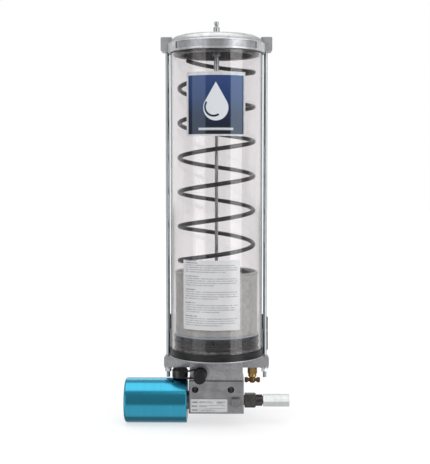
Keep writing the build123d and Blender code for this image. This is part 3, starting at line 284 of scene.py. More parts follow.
# Painted shade in corners, patchy like the grey film that handling and oil leave there, from how closed
# in a place is
corner_shade_and_dirt, given, result = effect("corner shade and dirt", {"Reach": 0.006, "Strength": 1.0}, ("Mask",))
openness = node(corner_shade_and_dirt, "AmbientOcclusion", samples=6, Distance=given.outputs["Reach"]).outputs["AO"]
place = node(corner_shade_and_dirt, "TexCoord").outputs["Object"]
patchy = noise(corner_shade_and_dirt, place, Scale=150.0, Detail=5.0, Roughness=0.65)
closed = sums(corner_shade_and_dirt, "POWER", sums(corner_shade_and_dirt, "SUBTRACT", 1.0, openness), 1.4)
closed = product(corner_shade_and_dirt, closed, product(corner_shade_and_dirt, patchy, 2.0))
joined(corner_shade_and_dirt, result.inputs["Mask"],
       sums(corner_shade_and_dirt, "MULTIPLY", closed, given.outputs["Strength"], clamp=True))


def finish(name, roughness, metallic=0.0, **sockets):
    """A new material; gives it, its tree, its Principled shader and its place in the part."""
    made = bpy.data.materials.new(name)
    made.use_nodes = True
    shader = made.node_tree.nodes["Principled BSDF"]
    for label, value in {"Roughness": roughness, "Metallic": metallic, **sockets}.items():
        shader.inputs[label.replace("_", " ")].default_value = value
    return made, made.node_tree, shader, node(made.node_tree, "TexCoord").outputs["Object"]


def bumped(tree, shader, height, depth, strength=1.0):
    """Raises the surface by height, depth metres from black to white."""
    joined(tree, shader.inputs["Normal"],
           node(tree, "Bump", Strength=strength, Distance=depth, Height=height).outputs[0])


def cast_aluminium(name, bright, dull, shade_and_dirt, roughness=(0.34, 0.52), grain=1.1, depth=0.00008):
    """Bare cast metal: bright skin with dull blotches, rubbed edges, and corners darkened by dirt and
    painted shade.
    """
    made, tree, shader, place = finish(name, 0.42, 0.92)
    skin = use(tree, cast_skin, Grain=grain, Blotch=14.0)
    colour = mixed(tree, skin["Mottle"], dull, bright)
    fine = noise(tree, place, Scale=420.0, Detail=4.0)
    colour = mixed(tree, 0.14, colour, ramp(tree, fine, (0.3, 0.25), (0.7, 0.85)), "OVERLAY")
    colour = mixed(tree, use(tree, worn_edges)["Mask"], colour, (0.80, 0.80, 0.81))
    colour = mixed(tree, use(tree, corner_shade_and_dirt, Reach=0.007, Strength=shade_and_dirt)["Mask"], colour,
                   (0.085, 0.085, 0.088))
    joined(tree, shader.inputs["Base Color"], colour)
    joined(tree, shader.inputs["Roughness"],
           spread(tree, skin["Mottle"], 0.0, 1.0, roughness[1], roughness[0]))
    bumped(tree, shader, skin["Height"], depth)
    return made


def softened(name, width, material, angle=32, rides=True):
    """Stands for a CAD node with its edges broken, as tumbling, moulding or machining leaves them."""
    source = frame["nodes"][name]
    shape = bmesh.new()
    shape.from_mesh(source.data)
    shape.transform(source.matrix_world)
    bmesh.ops.remove_doubles(shape, verts=shape.verts, dist=2e-6)
    bmesh.ops.dissolve_limit(shape, angle_limit=math.radians(0.4), verts=shape.verts, edges=shape.edges)
    mesh = bpy.data.meshes.new(name + "_finished")
    shape.to_mesh(mesh)
    shape.free()
    for face in mesh.polygons:
        face.use_smooth = True
    piece = placed(name + "_finished", mesh)
    edge = piece.modifiers.new("broken edge", "BEVEL")
    edge.width, edge.segments = width * MM, 2
    edge.limit_method, edge.angle_limit = "ANGLE", math.radians(angle)
    edge.use_clamp_overlap, edge.miter_outer = True, "MITER_ARC"
    normals = piece.modifiers.new("flat faces", "WEIGHTED_NORMAL")
    normals.keep_sharp, normals.weight = True, 50
    mesh.materials.clear()
    mesh.materials.append(material)
    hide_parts(name)
    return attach(piece, body_of[name]) if rides else piece


def coated(material, *names):
    """Gives CAD nodes a material on their own mesh."""
    for name in names:
        for slot in frame["nodes"][name].material_slots:
            slot.material = material


base_metal = cast_aluminium("base_cast_aluminium", (0.60, 0.60, 0.62), (0.40, 0.40, 0.42), 0.9)
softened("base_casting", 0.5, base_metal)

bracket_paint, tree, shader, place = finish("bracket_black_paint", 0.42)
peel = noise(tree, place, Scale=900.0, Detail=2.0)
dust = noise(tree, place, Scale=55.0, Detail=5.0, Roughness=0.65)
paint = mixed(tree, spread(tree, dust, 0.45, 0.8), (0.022, 0.022, 0.024),
              (0.060, 0.060, 0.060))
paint = mixed(tree, use(tree, worn_edges, Radius=0.0004, Reach=2.5)["Mask"], paint, (0.16, 0.16, 0.16))
joined(tree, shader.inputs["Base Color"], paint)
bumped(tree, shader, peel, 0.00005)
softened("wall_bracket", 0.4, bracket_paint)


def dark_steel(name, colour=(0.045, 0.044, 0.043), roughness=0.36):
    """Blackened steel with an oily sheen and brighter rubbed edges."""
    made, tree, shader, place = finish(name, roughness, 0.75)
    stain = noise(tree, place, Scale=240.0, Detail=5.0, Roughness=0.6)
    lighter = tuple(2.6 * channel for channel in colour)
    shade = mixed(tree, spread(tree, stain, 0.38, 0.74), colour, lighter)
    rubbed = use(tree, worn_edges, Radius=0.0005, Reach=4.0)["Mask"]
    shade = mixed(tree, rubbed, shade, (0.34, 0.33, 0.32))
    joined(tree, shader.inputs["Base Color"], shade)
    joined(tree, shader.inputs["Roughness"],
           spread(tree, stain, 0.3, 0.7, roughness - 0.08, roughness + 0.14))
    bumped(tree, shader, stain, 0.00005)
    return made


screw_steel = dark_steel("black_screw_steel")
softened("bracket_screws", 0.15, screw_steel)


def rubber(name, colour, roughness=0.46, sheen=0.15, grain=1200.0, depth=0.00004):
    """Moulded rubber: near black, a little bloom on it, fine matt skin."""
    made, tree, shader, place = finish(name, roughness, Sheen_Weight=sheen, Sheen_Roughness=0.5,
                                       Specular_IOR_Level=0.32)
    skin = noise(tree, place, Scale=grain, Detail=3.0)
    bloom = noise(tree, place, Scale=70.0, Detail=5.0, Roughness=0.7)
    pale = tuple(2.4 * channel + 0.008 for channel in colour)
    joined(tree, shader.inputs["Base Color"],
           mixed(tree, spread(tree, bloom, 0.42, 0.85), colour, pale))
    joined(tree, shader.inputs["Roughness"],
           spread(tree, bloom, 0.3, 0.7, roughness - 0.05, roughness + 0.12))
    bumped(tree, shader, skin, depth)
    return made


gasket_rubber = rubber("gasket_sheet_rubber", (0.020, 0.020, 0.021), 0.6)
coated(gasket_rubber, "neck_gasket")


# Pump block and what is screwed into it ---------------------------------------------------------
# The block is sawn from aluminium bar, milled on all sides and bored right through for the plunger.
# Four socket screws pull it up to the base, and a square headed plug closes its cross drilling.

# Cutter marks: streaks drawn out along one direction, by how many lie in a metre each way
tool_marks, given, result = effect("tool marks", {"Lines": (40.0, 40.0, 1600.0)}, ("Height", "Streak"))
place = node(tool_marks, "TexCoord").outputs["Object"]
drawn = node(tool_marks, "VectorMath", place, given.outputs["Lines"], operation="MULTIPLY").outputs[0]
line = noise(tool_marks, drawn, Scale=1.0, Detail=5.0, Roughness=0.7)
wide = node(tool_marks, "VectorMath", drawn, (0.22, 0.22, 0.22), operation="MULTIPLY").outputs[0]
band = noise(tool_marks, wide, Scale=1.0, Detail=3.0, Roughness=0.6)
joined(tool_marks, result.inputs["Height"], line)
streak = sums(tool_marks, "ADD", product(tool_marks, line, 0.5), product(tool_marks, band, 0.5))
joined(tool_marks, result.inputs["Streak"], spread(tool_marks, streak, 0.36, 0.64))


def machined(name, bright, dull, lines, roughness=(0.30, 0.46), shade_and_dirt=0.6, metallic=1.0, depth=0.00003):
    """Cut metal with streaks along the cutter's path, bright corners, and painted shade with grime in the
    recesses.
    """
    made, tree, shader, place = finish(name, roughness[0], metallic)
    marks = use(tree, tool_marks, Lines=lines)
    cloud = noise(tree, place, Scale=75.0, Detail=4.0, Roughness=0.6)
    colour = mixed(tree, marks["Streak"], dull, bright)
    colour = mixed(tree, 0.35, colour, ramp(tree, cloud, (0.3, 0.3), (0.7, 0.7)), "OVERLAY")
    rubbed = use(tree, worn_edges, Radius=0.0004, Reach=5.0)["Mask"]
    colour = mixed(tree, rubbed, colour, (0.78, 0.78, 0.79))
    shade_and_grime = use(tree, corner_shade_and_dirt, Reach=0.005, Strength=shade_and_dirt)["Mask"]
    colour = mixed(tree, shade_and_grime, colour, (0.05, 0.05, 0.05))
    joined(tree, shader.inputs["Base Color"], colour)
    joined(tree, shader.inputs["Roughness"],
           spread(tree, marks["Streak"], 0.0, 1.0, roughness[1], roughness[0]))
    bumped(tree, shader, marks["Height"], depth)
    return made


block_metal = machined("block_milled_aluminium", (0.52, 0.52, 0.53), (0.36, 0.36, 0.37),
                       (60.0, 60.0, 900.0))
softened("pump_block", 0.35, block_metal)
softened("block_screws", 0.15, screw_steel)


def plated(name, colour=(0.60, 0.62, 0.64), roughness=0.24, patch=0.3, grain=500.0):
    """Zinc plated steel: bluish, slightly cloudy, with a fine drawn grain."""
    made, tree, shader, place = finish(name, roughness, 1.0)
    cloud = noise(tree, place, Scale=grain, Detail=5.0, Roughness=0.6)
    dark = tuple((1 - patch) * channel for channel in colour)
    shade = mixed(tree, spread(tree, cloud, 0.35, 0.65), dark, colour)
    # Painted shade with grime in the corners, from how closed in they are
    shade_and_grime = use(tree, corner_shade_and_dirt, Reach=0.003, Strength=0.8)["Mask"]
    shade = mixed(tree, shade_and_grime, shade, (0.06, 0.06, 0.05))
    joined(tree, shader.inputs["Base Color"], shade)
    joined(tree, shader.inputs["Roughness"],
           spread(tree, cloud, 0.3, 0.7, roughness + 0.12, roughness))
    bumped(tree, shader, cloud, 0.00003)
    return made


plug_steel = plated("plug_dull_zinc", (0.42, 0.42, 0.42), 0.34, 0.35)
softened("pipe_plug", 0.3, plug_steel)

# The name plate is a printed foil with rounded corners. Its rows are plain bars, with no wording.
plate_low, plate_high = (Vector(corner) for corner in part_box("name_plate"))
plate_foil, tree, shader, place = finish("name_plate_foil", 0.34, Coat_Weight=0.35, Coat_Roughness=0.2)
axes = node(tree, "SeparateXYZ", place)
across = spread(tree, axes.outputs["X"], plate_low.x, plate_high.x, 0.0, 1.0, clamp=False)
up = spread(tree, axes.outputs["Z"], plate_low.z, plate_high.z, 0.0, 1.0, clamp=False)


def between(tree, value, low, high, soft=0.004):
    """1 where value lies between low and high, with soft ends."""
    rise = spread(tree, value, low - soft, low + soft)
    fall = spread(tree, value, high - soft, high + soft, 1.0, 0.0)
    return product(tree, rise, fall)


def letters(tree, across, count, row):
    """A chance from 0 to 1 for each of count letter cells across a printed row."""
    column = sums(tree, "FLOOR", product(tree, across, count))
    cell = node(tree, "CombineXYZ", column, row, 0.0).outputs[0]
    return node(tree, "TexWhiteNoise", cell, noise_dimensions="2D").outputs[0]


def bars(tree, across, up, spots, soft=0.006):
    """The union of printed bars, each (left, right, bottom, top)."""
    total = None
    for left, right, bottom, top in spots:
        bar = product(tree, between(tree, across, left, right, soft),
                      between(tree, up, bottom, top, 2 * soft))
        total = bar if total is None else sums(tree, "MAXIMUM", total, bar)
    return total


rows = (0.16, 0.45, 0.74)
titles = [(0.04, 0.20, row - 0.035, row + 0.055) for row in rows]
entries = [(0.24, 0.60, 0.70, 0.745), (0.24, 0.53, 0.78, 0.815), (0.24, 0.93, 0.50, 0.53),
           (0.24, 0.45, 0.40, 0.445), (0.24, 0.93, 0.28, 0.305), (0.24, 0.58, 0.165, 0.20),
           (0.24, 0.66, 0.10, 0.135), (0.70, 0.93, 0.72, 0.80), (0.70, 0.88, 0.62, 0.66)]
print_mask = sums(tree, "MAXIMUM", bars(tree, across, up, titles), bars(tree, across, up, entries))
line = sums(tree, "FLOOR", product(tree, up, 14.0))
letter = spread(tree, letters(tree, across, 46.0, line), 0.12, 0.3, 0.35, 1.0)
print_mask = product(tree, print_mask, letter)
foil = ramp(tree, noise(tree, place, Scale=90.0, Detail=4.0), (0.2, (0.66, 0.67, 0.68)),
            (0.8, (0.76, 0.77, 0.78)))
rim = product(tree, between(tree, across, 0.012, 0.988), between(tree, up, 0.035, 0.965, 0.012))
foil = mixed(tree, rim, (0.42, 0.43, 0.44), foil)
joined(tree, shader.inputs["Base Color"],
       mixed(tree, product(tree, print_mask, 0.86), foil, (0.16, 0.16, 0.17)))
bumped(tree, shader, print_mask, 0.00002)
coated(plate_foil, "name_plate")


# Air cylinder -----------------------------------------------------------------------------------
# A deep aluminium cup turned all over and anodised blue. Its head screws into the mouth and into the
# block, and inside a piston with a lip seal drives the hardened plunger against a spring.

anodised, tree, shader, place = finish("blue_anodised_aluminium", 0.20, 1.0, Coat_Weight=0.7,
                                       Coat_Roughness=0.12)
turning = use(tree, tool_marks, Lines=(1500.0, 26.0, 26.0))
cloud = noise(tree, place, Scale=45.0, Detail=3.0)
blue = mixed(tree, turning["Streak"], (0.028, 0.395, 0.600), (0.036, 0.440, 0.655))
blue = mixed(tree, spread(tree, cloud, 0.4, 0.8), blue, (0.032, 0.415, 0.620))
blue = mixed(tree, use(tree, worn_edges, Radius=0.0005, Reach=3.0)["Mask"], blue, (0.10, 0.60, 0.82))
joined(tree, shader.inputs["Base Color"], blue)
joined(tree, shader.inputs["Roughness"],
       spread(tree, turning["Streak"], 0.0, 1.0, 0.26, 0.18))
bumped(tree, shader, turning["Height"], 0.000012)
softened("air_cylinder", 0.3, anodised)

head_metal = machined("cylinder_head_aluminium", (0.56, 0.56, 0.57), (0.42, 0.42, 0.43),
                      (1400.0, 30.0, 30.0))
softened("cylinder_head", 0.2, head_metal)
piston_metal = machined("piston_aluminium", (0.60, 0.60, 0.61), (0.46, 0.46, 0.47), (1100.0, 30.0, 30.0))
softened("air_piston", 0.3, piston_metal)
plunger_steel = machined("plunger_ground_steel", (0.62, 0.62, 0.62), (0.50, 0.50, 0.50),
                         (2200.0, 50.0, 50.0), (0.14, 0.24))
softened("pump_plunger", 0.2, plunger_steel)
ring_rubber = rubber("o_ring_rubber", (0.014, 0.014, 0.015), 0.36, 0.05)
coated(ring_rubber, "head_oring", "boss_oring", "piston_seal", "plunger_seal")


def skinned(name, rings):
    """A closed smooth piece through rings of points, flat at both ends."""
    sides, last = len(rings[0]), len(rings) - 1
    faces = []
    for row in range(last):
        for side in range(sides):
            a, b = row * sides + side, row * sides + (side + 1) % sides
            faces.append((a, b, b + sides, a + sides))
    faces.append(tuple(range(sides))[::-1])
    faces.append(tuple(last * sides + side for side in range(sides)))
    mesh = bpy.data.meshes.new(name)
    mesh.from_pydata([point for ring in rings for point in ring], [], faces)
    mesh.validate()
    shape = bmesh.new()
    shape.from_mesh(mesh)
    bmesh.ops.recalc_face_normals(shape, faces=shape.faces)
    shape.to_mesh(mesh)
    shape.free()
    for face in mesh.polygons[:-2]:
        face.use_smooth = True
    return placed(name, mesh)


def wound_wire(name, wire, radius, start, end, turns, first_angle):
    """Round spring wire wound from start to end about the line between them, in metres."""
    steps_a_turn, sides = 44, 12
    start, end = Vector(start), Vector(end)
    axis = (end - start).normalized()
    upright = abs(axis.z) > 0.99
    frame_turn = Matrix.Identity(3) if upright else axis.to_track_quat("Z", "X").to_matrix()
    length = (end - start).length
    steps = int(turns * steps_a_turn)
    rise = (length - wire) / (2 * math.pi * turns)
    lean = math.atan2(rise, radius)
    rings = []
    for step in range(steps + 1):
        angle = 2 * math.pi * turns * step / steps
        out = Vector((math.cos(first_angle + angle), math.sin(first_angle + angle), 0))
        along = Vector((-out.y * math.cos(lean), out.x * math.cos(lean), math.sin(lean)))
        middle = radius * out + Vector((0, 0, wire / 2 + rise * angle))
        up = along.cross(out)
        ring = []
        for side in range(sides):
            turn = 2 * math.pi * side / sides
            point = middle + wire / 2 * (math.cos(turn) * out - math.sin(turn) * up)
            point.z = min(max(point.z, 0.0), length)
            ring.append(start + frame_turn @ point)
        rings.append(ring)
    return skinned(name, rings)


def spring_steel(name, colour=(0.085, 0.085, 0.088), roughness=0.30):
    """Oil tempered spring wire: dark, drawn smooth, with faint scale."""
    made, tree, shader, place = finish(name, roughness, 0.85)
    scale = noise(tree, place, Scale=180.0, Detail=6.0, Roughness=0.65)
    pale = tuple(2.0 * channel for channel in colour)
    joined(tree, shader.inputs["Base Color"],
           mixed(tree, spread(tree, scale, 0.35, 0.75), colour, pale))
    joined(tree, shader.inputs["Roughness"],
           spread(tree, scale, 0.3, 0.7, roughness - 0.06, roughness + 0.16))
    bumped(tree, shader, scale, 0.00004)
    return made


small_wire = spring_steel("small_spring_wire", (0.16, 0.16, 0.165), 0.26)


def small_spring(node_name, wire, radius, turns, axis):
    """A spring between a moving part and its housing, fixed to the housing."""
    low, high = (Vector(corner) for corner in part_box(node_name))
    middle = (low + high) / 2
    index = "xyz".index(axis)
    start, end = middle.copy(), middle.copy()
    start[index], end[index] = low[index], high[index]
    piece = wound_wire(node_name + "_wire", wire, radius, start, end, turns, 0.0)
    piece.data.materials.append(small_wire)
    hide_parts(node_name)
    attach(piece, "housing")
    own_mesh(piece)
    return piece


plunger_r = 4.75 * MM
small_spring("return_spring", 2.2 * MM, plunger_r + 7.25 * MM, 6.0, "x")


# Outlet adapter and check valve -----------------------------------------------------------------
# A blackened steel hexagon screws into the block's right side. On it sits a nickel plated hexagon
# with a ball, a spring and a retaining ring inside, and a pipe thread for the line at its end.

adapter_steel = dark_steel("adapter_black_steel", (0.060, 0.056, 0.052), 0.30)
softened("outlet_adapter", 0.3, adapter_steel)

nickel, tree, shader, place = finish("bright_nickel", 0.10, 1.0)
haze = noise(tree, place, Scale=150.0, Detail=5.0, Roughness=0.6)
drawing = use(tree, tool_marks, Lines=(40.0, 1300.0, 1300.0))
shine = mixed(tree, spread(tree, haze, 0.35, 0.75), (0.80, 0.82, 0.81), (0.70, 0.73, 0.73))
# Painted shade with brownish grime in the corners, from how closed in they are
shine = mixed(tree, use(tree, corner_shade_and_dirt, Reach=0.003, Strength=0.5)["Mask"], shine, (0.30, 0.27, 0.20))
joined(tree, shader.inputs["Base Color"], shine)
joined(tree, shader.inputs["Roughness"],
       spread(tree, drawing["Streak"], 0.0, 1.0, 0.10, 0.20))
bumped(tree, shader, drawing["Height"], 0.000008)
softened("check_valve_body", 0.35, nickel)
ball_steel, tree, shader, place = finish("polished_ball_steel", 0.06, 1.0)
polish = noise(tree, place, Scale=900.0, Detail=4.0)
joined(tree, shader.inputs["Base Color"], ramp(tree, polish, (0.3, 0.58), (0.7, 0.68)))
joined(tree, shader.inputs["Roughness"], spread(tree, polish, 0.3, 0.7, 0.05, 0.14))
coated(ball_steel, "check_ball", "fill_ball")
zinc = plated("bright_zinc")
coated(zinc, "check_retainer")
small_spring("check_spring", 0.5 * MM, 3.1 * MM, 4.0, "x")


# Drain cock -------------------------------------------------------------------------------------
# A brass cock under the right lug: a hexagon body with a round lower end, and a cast screw with two
# knobbed wings. The brass is bright where it is handled, and dark brown in its corners from tarnish and
# painted shade.

brass, tree, shader, place = finish("handled_brass", 0.28, 1.0)
tarnish = noise(tree, place, Scale=210.0, Detail=5.0, Roughness=0.65)
gold = mixed(tree, spread(tree, tarnish, 0.38, 0.68), (0.30, 0.17, 0.055), (0.62, 0.42, 0.16))
gold = mixed(tree, use(tree, worn_edges, Radius=0.0005, Reach=5.0)["Mask"], gold, (0.82, 0.60, 0.28))
# Dark brown corners: tarnish, and painted shade from how closed in they are
gold = mixed(tree, use(tree, corner_shade_and_dirt, Reach=0.004, Strength=1.3)["Mask"], gold, (0.055, 0.035, 0.016))
joined(tree, shader.inputs["Base Color"], gold)
joined(tree, shader.inputs["Roughness"], spread(tree, tarnish, 0.3, 0.7, 0.42, 0.22))
bumped(tree, shader, tarnish, 0.00005)
softened("drain_cock_body", 0.3, brass)

wing_brass, tree, shader, place = finish("cast_wing_brass", 0.38, 0.95)
tarnish = noise(tree, place, Scale=260.0, Detail=5.0, Roughness=0.7)
brown = mixed(tree, spread(tree, tarnish, 0.40, 0.75), (0.10, 0.050, 0.022),
              (0.30, 0.18, 0.075))
brown = mixed(tree, use(tree, worn_edges, Radius=0.0006, Reach=3.0)["Mask"], brown, (0.62, 0.42, 0.18))
joined(tree, shader.inputs["Base Color"], brown)
bumped(tree, shader, tarnish, 0.00008)
softened("drain_screw", 0.9, wing_brass)


# Port plug, fill nipple and its dust cap --------------------------------------------------------
# Bulk grease goes in through a nipple on the neck's left, with a ball inside. A black push-on cap
# keeps it clean, held by a moulded rubber strap to the plastic plug under the left lug.

plug_plastic, tree, shader, place = finish("black_moulded_plastic", 0.30, Coat_Weight=0.2,
                                           Coat_Roughness=0.15)
skin = noise(tree, place, Scale=500.0, Detail=4.0)
joined(tree, shader.inputs["Base Color"],
       ramp(tree, skin, (0.3, (0.010, 0.010, 0.012)), (0.75, (0.026, 0.027, 0.031))))
joined(tree, shader.inputs["Roughness"], spread(tree, skin, 0.3, 0.7, 0.24, 0.40))
bumped(tree, shader, skin, 0.00004)
softened("port_plug", 0.5, plug_plastic)

softened("fill_nipple", 0.2, zinc)
coated(brass, "fill_spring_retainer")
small_spring("fill_spring", 0.5 * MM, 2.1 * MM, 9.0, "y")

cap_rubber = rubber("cap_black_rubber", (0.007, 0.007, 0.008), 0.50, 0.03)
softened("dust_cap", 0.9, cap_rubber)
strap_rubber = rubber("strap_black_rubber", (0.008, 0.008, 0.009), 0.45, 0.03)
# The strap rides on no body; its placement is baked into its mesh
strap = softened("cap_tether", 0.3, strap_rubber, rides=False)
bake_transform(strap)


# Reservoir tube on its rubber boot --------------------------------------------------------------
# A clear acrylic tube stands in a black rubber boot on the base. It is extruded, so faint lines run
# up it, and its thick wall shows greenish grey where the eye meets it edge on.

boot_rubber = rubber("boot_black_rubber", (0.008, 0.008, 0.008), 0.34, 0.0)
coated(boot_rubber, "base_gasket")

acrylic, tree, shader, place = finish("clear_acrylic", 0.03, 0.0, IOR=1.49, Transmission_Weight=1.0)
grazing = node(tree, "LayerWeight", Blend=0.5).outputs["Facing"]
tint = ramp(tree, grazing, (0.0, (0.874, 0.855, 0.861)), (0.62, (0.874, 0.855, 0.861)),
            (0.86, (0.88, 0.89, 0.89)), (1.0, (0.87, 0.90, 0.90)))
lines = node(tree, "VectorMath", place, (260.0, 260.0, 3.0), operation="MULTIPLY").outputs[0]
drawn = noise(tree, lines, Scale=1.0, Detail=3.0)
faint = ramp(tree, drawn, (0.3, 0.8), (0.7, 1.0))
joined(tree, shader.inputs["Base Color"], mixed(tree, 0.05, tint, faint, "MULTIPLY"))
joined(tree, shader.inputs["Roughness"], spread(tree, drawn, 0.3, 0.7, 0.02, 0.06))
rays = node(tree, "LightPath")
pass_light = node(tree, "BsdfTransparent", (0.94, 0.94, 0.94, 1))
both = node(tree, "MixShader", rays.outputs["Is Shadow Ray"], shader.outputs[0], pass_light.outputs[0])
tree.links.new(both.outputs[0], tree.nodes["Material Output"].inputs[0])
coated(acrylic, "reservoir_tube")


# Follower ---------------------------------------------------------------------------------------
# A pale moulded cup rides down the tube on the guide rod and pushes the grease. A black rubber seal
# with two lips is clamped below it by a plated disc and six countersunk screws.

cup_plastic, tree, shader, place = finish("pale_moulded_plastic", 0.42)
shade = noise(tree, place, Scale=40.0, Detail=4.0, Roughness=0.6)
fine = noise(tree, place, Scale=700.0, Detail=3.0)
pale = ramp(tree, shade, (0.3, (0.840, 0.850, 0.815)), (0.7, (0.900, 0.910, 0.875)))
# Painted shade with dirt in its corners, from how closed in they are
pale = mixed(tree, use(tree, corner_shade_and_dirt, Reach=0.006, Strength=0.6)["Mask"], pale, (0.25, 0.24, 0.22))
joined(tree, shader.inputs["Base Color"], pale)
bumped(tree, shader, fine, 0.00003)
softened("follower_cup", 0.4, cup_plastic)

seal_rubber = rubber("seal_black_rubber", (0.005, 0.006, 0.007), 0.24, 0.0, depth=0.000008)
# A pale blue band painted round its top edge: a painted highlight where the lip catches the light
tree = seal_rubber.node_tree
shader = tree.nodes["Principled BSDF"]
level = node(tree, "SeparateXYZ", node(tree, "TexCoord").outputs["Object"]).outputs["Z"]
seal_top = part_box("follower_seal")[1][2]
painted_highlight = spread(tree, level, seal_top - 1.6 * MM, seal_top - 0.8 * MM)
plain = shader.inputs["Base Color"].links[0].from_socket
joined(tree, shader.inputs["Base Color"], mixed(tree, painted_highlight, plain, (0.60, 0.72, 0.80)))
coated(seal_rubber, "follower_seal", "rod_wiper")
retainer_metal = plated("retainer_dark_zinc", (0.055, 0.050, 0.046), 0.34, 0.4, 220.0)
coated(retainer_metal, "follower_retainer")
coated(screw_steel, "retainer_screws")


# Guide rod, sleeve and follower spring ----------------------------------------------------------
# The rod hangs from the cover inside a nut and sleeve, and carries the follower down its middle.
# A long dark spring of round wire pushes the follower from the cover.

rod_steel = machined("drawn_guide_rod", (0.42, 0.42, 0.43), (0.26, 0.26, 0.27), (900.0, 900.0, 60.0),
                     (0.22, 0.34), 0.2)
coated(rod_steel, "guide_rod")
softened("rod_sleeve", 0.2, zinc)

coil_steel = spring_steel("follower_spring_wire", (0.040, 0.039, 0.040), 0.30)
low, high = (Vector(corner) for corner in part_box("follower_spring"))
wire = 5.3 * MM
coil_r = 46.1 * MM
TURNS = 7.83
coil = wound_wire("follower_spring_wire", wire, coil_r, (AXIS.x, AXIS.y, low.z), (AXIS.x, AXIS.y, high.z),
                  TURNS, math.radians(206))
coil.data.materials.append(coil_steel)
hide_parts("follower_spring")
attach(coil, "housing")
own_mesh(coil)


# Cover with its gasket and vent -----------------------------------------------------------------
# The cover is cast aluminium, shot blasted and then brushed on the rim. It has a crowned top, a
# shallow panel round the rim and an ear at each side for a tie rod.

cover_metal = cast_aluminium("cover_cast_aluminium", (0.80, 0.80, 0.81), (0.54, 0.55, 0.56), 0.8,
                             (0.30, 0.46))
cover_low, cover_high = (Vector(corner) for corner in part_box("reservoir_cover"))
skirt = cover_low.z + 2.6 * MM              # lower edge of the rim
rim_top = skirt + 12.4 * MM
dome_rise = 16 * MM
panel_half, panel_foot, panel_head = 48.4 * MM, 2.7 * MM, 10.5 * MM
bore_r = 53.85 * MM                         # inside the tube
tree = cover_metal.node_tree
shader = tree.nodes["Principled BSDF"]
place = node(tree, "TexCoord").outputs["Object"]
metal = shader.inputs["Base Color"].links[0].from_socket
axes = node(tree, "SeparateXYZ", place)
# Brush strokes stand upright on the rim and the ears, and the panel between its beads is greyer
strokes = use(tree, tool_marks, Lines=(420.0, 420.0, 30.0))["Streak"]
brushed = spread(tree, axes.outputs["Z"], rim_top, rim_top + 2.6 * MM, 0.5, 0.0)
metal = mixed(tree, brushed, metal, ramp(tree, strokes, (0.1, 0.36), (0.9, 0.66)), "OVERLAY")
panel = product(tree, between(tree, axes.outputs["Z"], skirt + panel_foot, skirt + panel_head, 0.4 * MM),
                between(tree, axes.outputs["X"], AXIS.x - panel_half, AXIS.x + panel_half, 0.4 * MM))
metal = mixed(tree, panel, metal, (0.74, 0.75, 0.79), "MULTIPLY")
# The inside face is painted dark and mottled: painted shade under the cover
off_axis = node(tree, "VectorMath", place, tuple(AXIS), operation="SUBTRACT").outputs[0]
off_axis = node(tree, "VectorMath", off_axis, (1.0, 1.0, 0.0), operation="MULTIPLY").outputs[0]
radius = node(tree, "VectorMath", off_axis, operation="LENGTH").outputs["Value"]
inside = product(tree, sums(tree, "LESS_THAN", radius, bore_r),
                 sums(tree, "LESS_THAN", axes.outputs["Z"], cover_high.z - dome_rise))
underside_mottle = noise(tree, place, Scale=90.0, Detail=5.0, Roughness=0.7)
painted_underside_shade = ramp(tree, underside_mottle, (0.35, (0.07, 0.07, 0.075)), (0.70, (0.20, 0.20, 0.21)))
joined(tree, shader.inputs["Base Color"], mixed(tree, inside, metal, painted_underside_shade))
softened("reservoir_cover", 0.5, cover_metal)
coated(gasket_rubber, "cover_gasket")
softened("vent_fitting", 0.25, zinc)


# Tie rods, washers and nuts ---------------------------------------------------------------------
# Two zinc plated rods clamp cover, tube and base together. They screw blind into the cover's ears
# and end below the base in a rolled thread with a washer and a plain nut.

rod_low, rod_high = (Vector(corner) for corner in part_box("tie_rods"))
rod_r = (rod_high.y - rod_low.y) / 2
rod_zinc = plated("rod_blue_zinc", (0.54, 0.58, 0.60), 0.26, 0.10, 120.0)
PITCH = 1.06 * MM


def threaded_rod(name, x, y, radius, low, high, threads, pitch):
    """A rod along Z with a helical rolled thread in each (from, to) span."""
    sides, depth, chamfer = 24, 0.30 * MM, 0.4 * MM
    steps_a_thread, plain_step = 6, 12 * MM
    levels = [low, low + chamfer]
    while levels[-1] < high - chamfer:
        cut = any(start - pitch < levels[-1] < end + pitch for start, end in threads)
        levels.append(min(levels[-1] + (pitch / steps_a_thread if cut else plain_step), high - chamfer))
    levels.append(high)
    rings = []
    for index, level in enumerate(levels):
        outer = radius - (chamfer if index in (0, len(levels) - 1) else 0)
        ring = []
        for side in range(sides):
            turn, r = 2 * math.pi * side / sides, outer
            if any(start <= level <= end for start, end in threads):
                wave = (level / pitch - side / sides) % 1.0
                r -= depth * (1 - abs(2 * wave - 1))
            ring.append((x + r * math.cos(turn), y + r * math.sin(turn), level))
        rings.append(ring)
    return skinned(name, rings)


for label, x in (("left", rod_low.x + rod_r), ("right", rod_high.x - rod_r)):
    rod = threaded_rod(f"tie_rod_{label}", x, AXIS.y, rod_r, rod_low.z, rod_high.z,
                       [(rod_low.z + 0.6 * MM, rod_low.z + 16 * MM)], PITCH)
    rod.data.materials.append(rod_zinc)
    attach(rod, "housing")
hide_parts("tie_rods")
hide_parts("tie_rods")
nut_zinc = plated("nut_bright_zinc", (0.66, 0.68, 0.70), 0.20, 0.2)
softened("tie_rod_washers", 0.15, nut_zinc)
softened("tie_rod_nuts", 0.3, nut_zinc)


# Labels on the tube -----------------------------------------------------------------------------
# Two printed films are stuck round the outside of the tube: a blue one near the top with a plain
# grease drop on it, and a pale one lower down with rules where its text would be.

def length(tree, x, y):
    """How far (x, y) lies from (0, 0)."""
    return sums(tree, "SQRT", sums(tree, "ADD", product(tree, x, x), product(tree, y, y)))


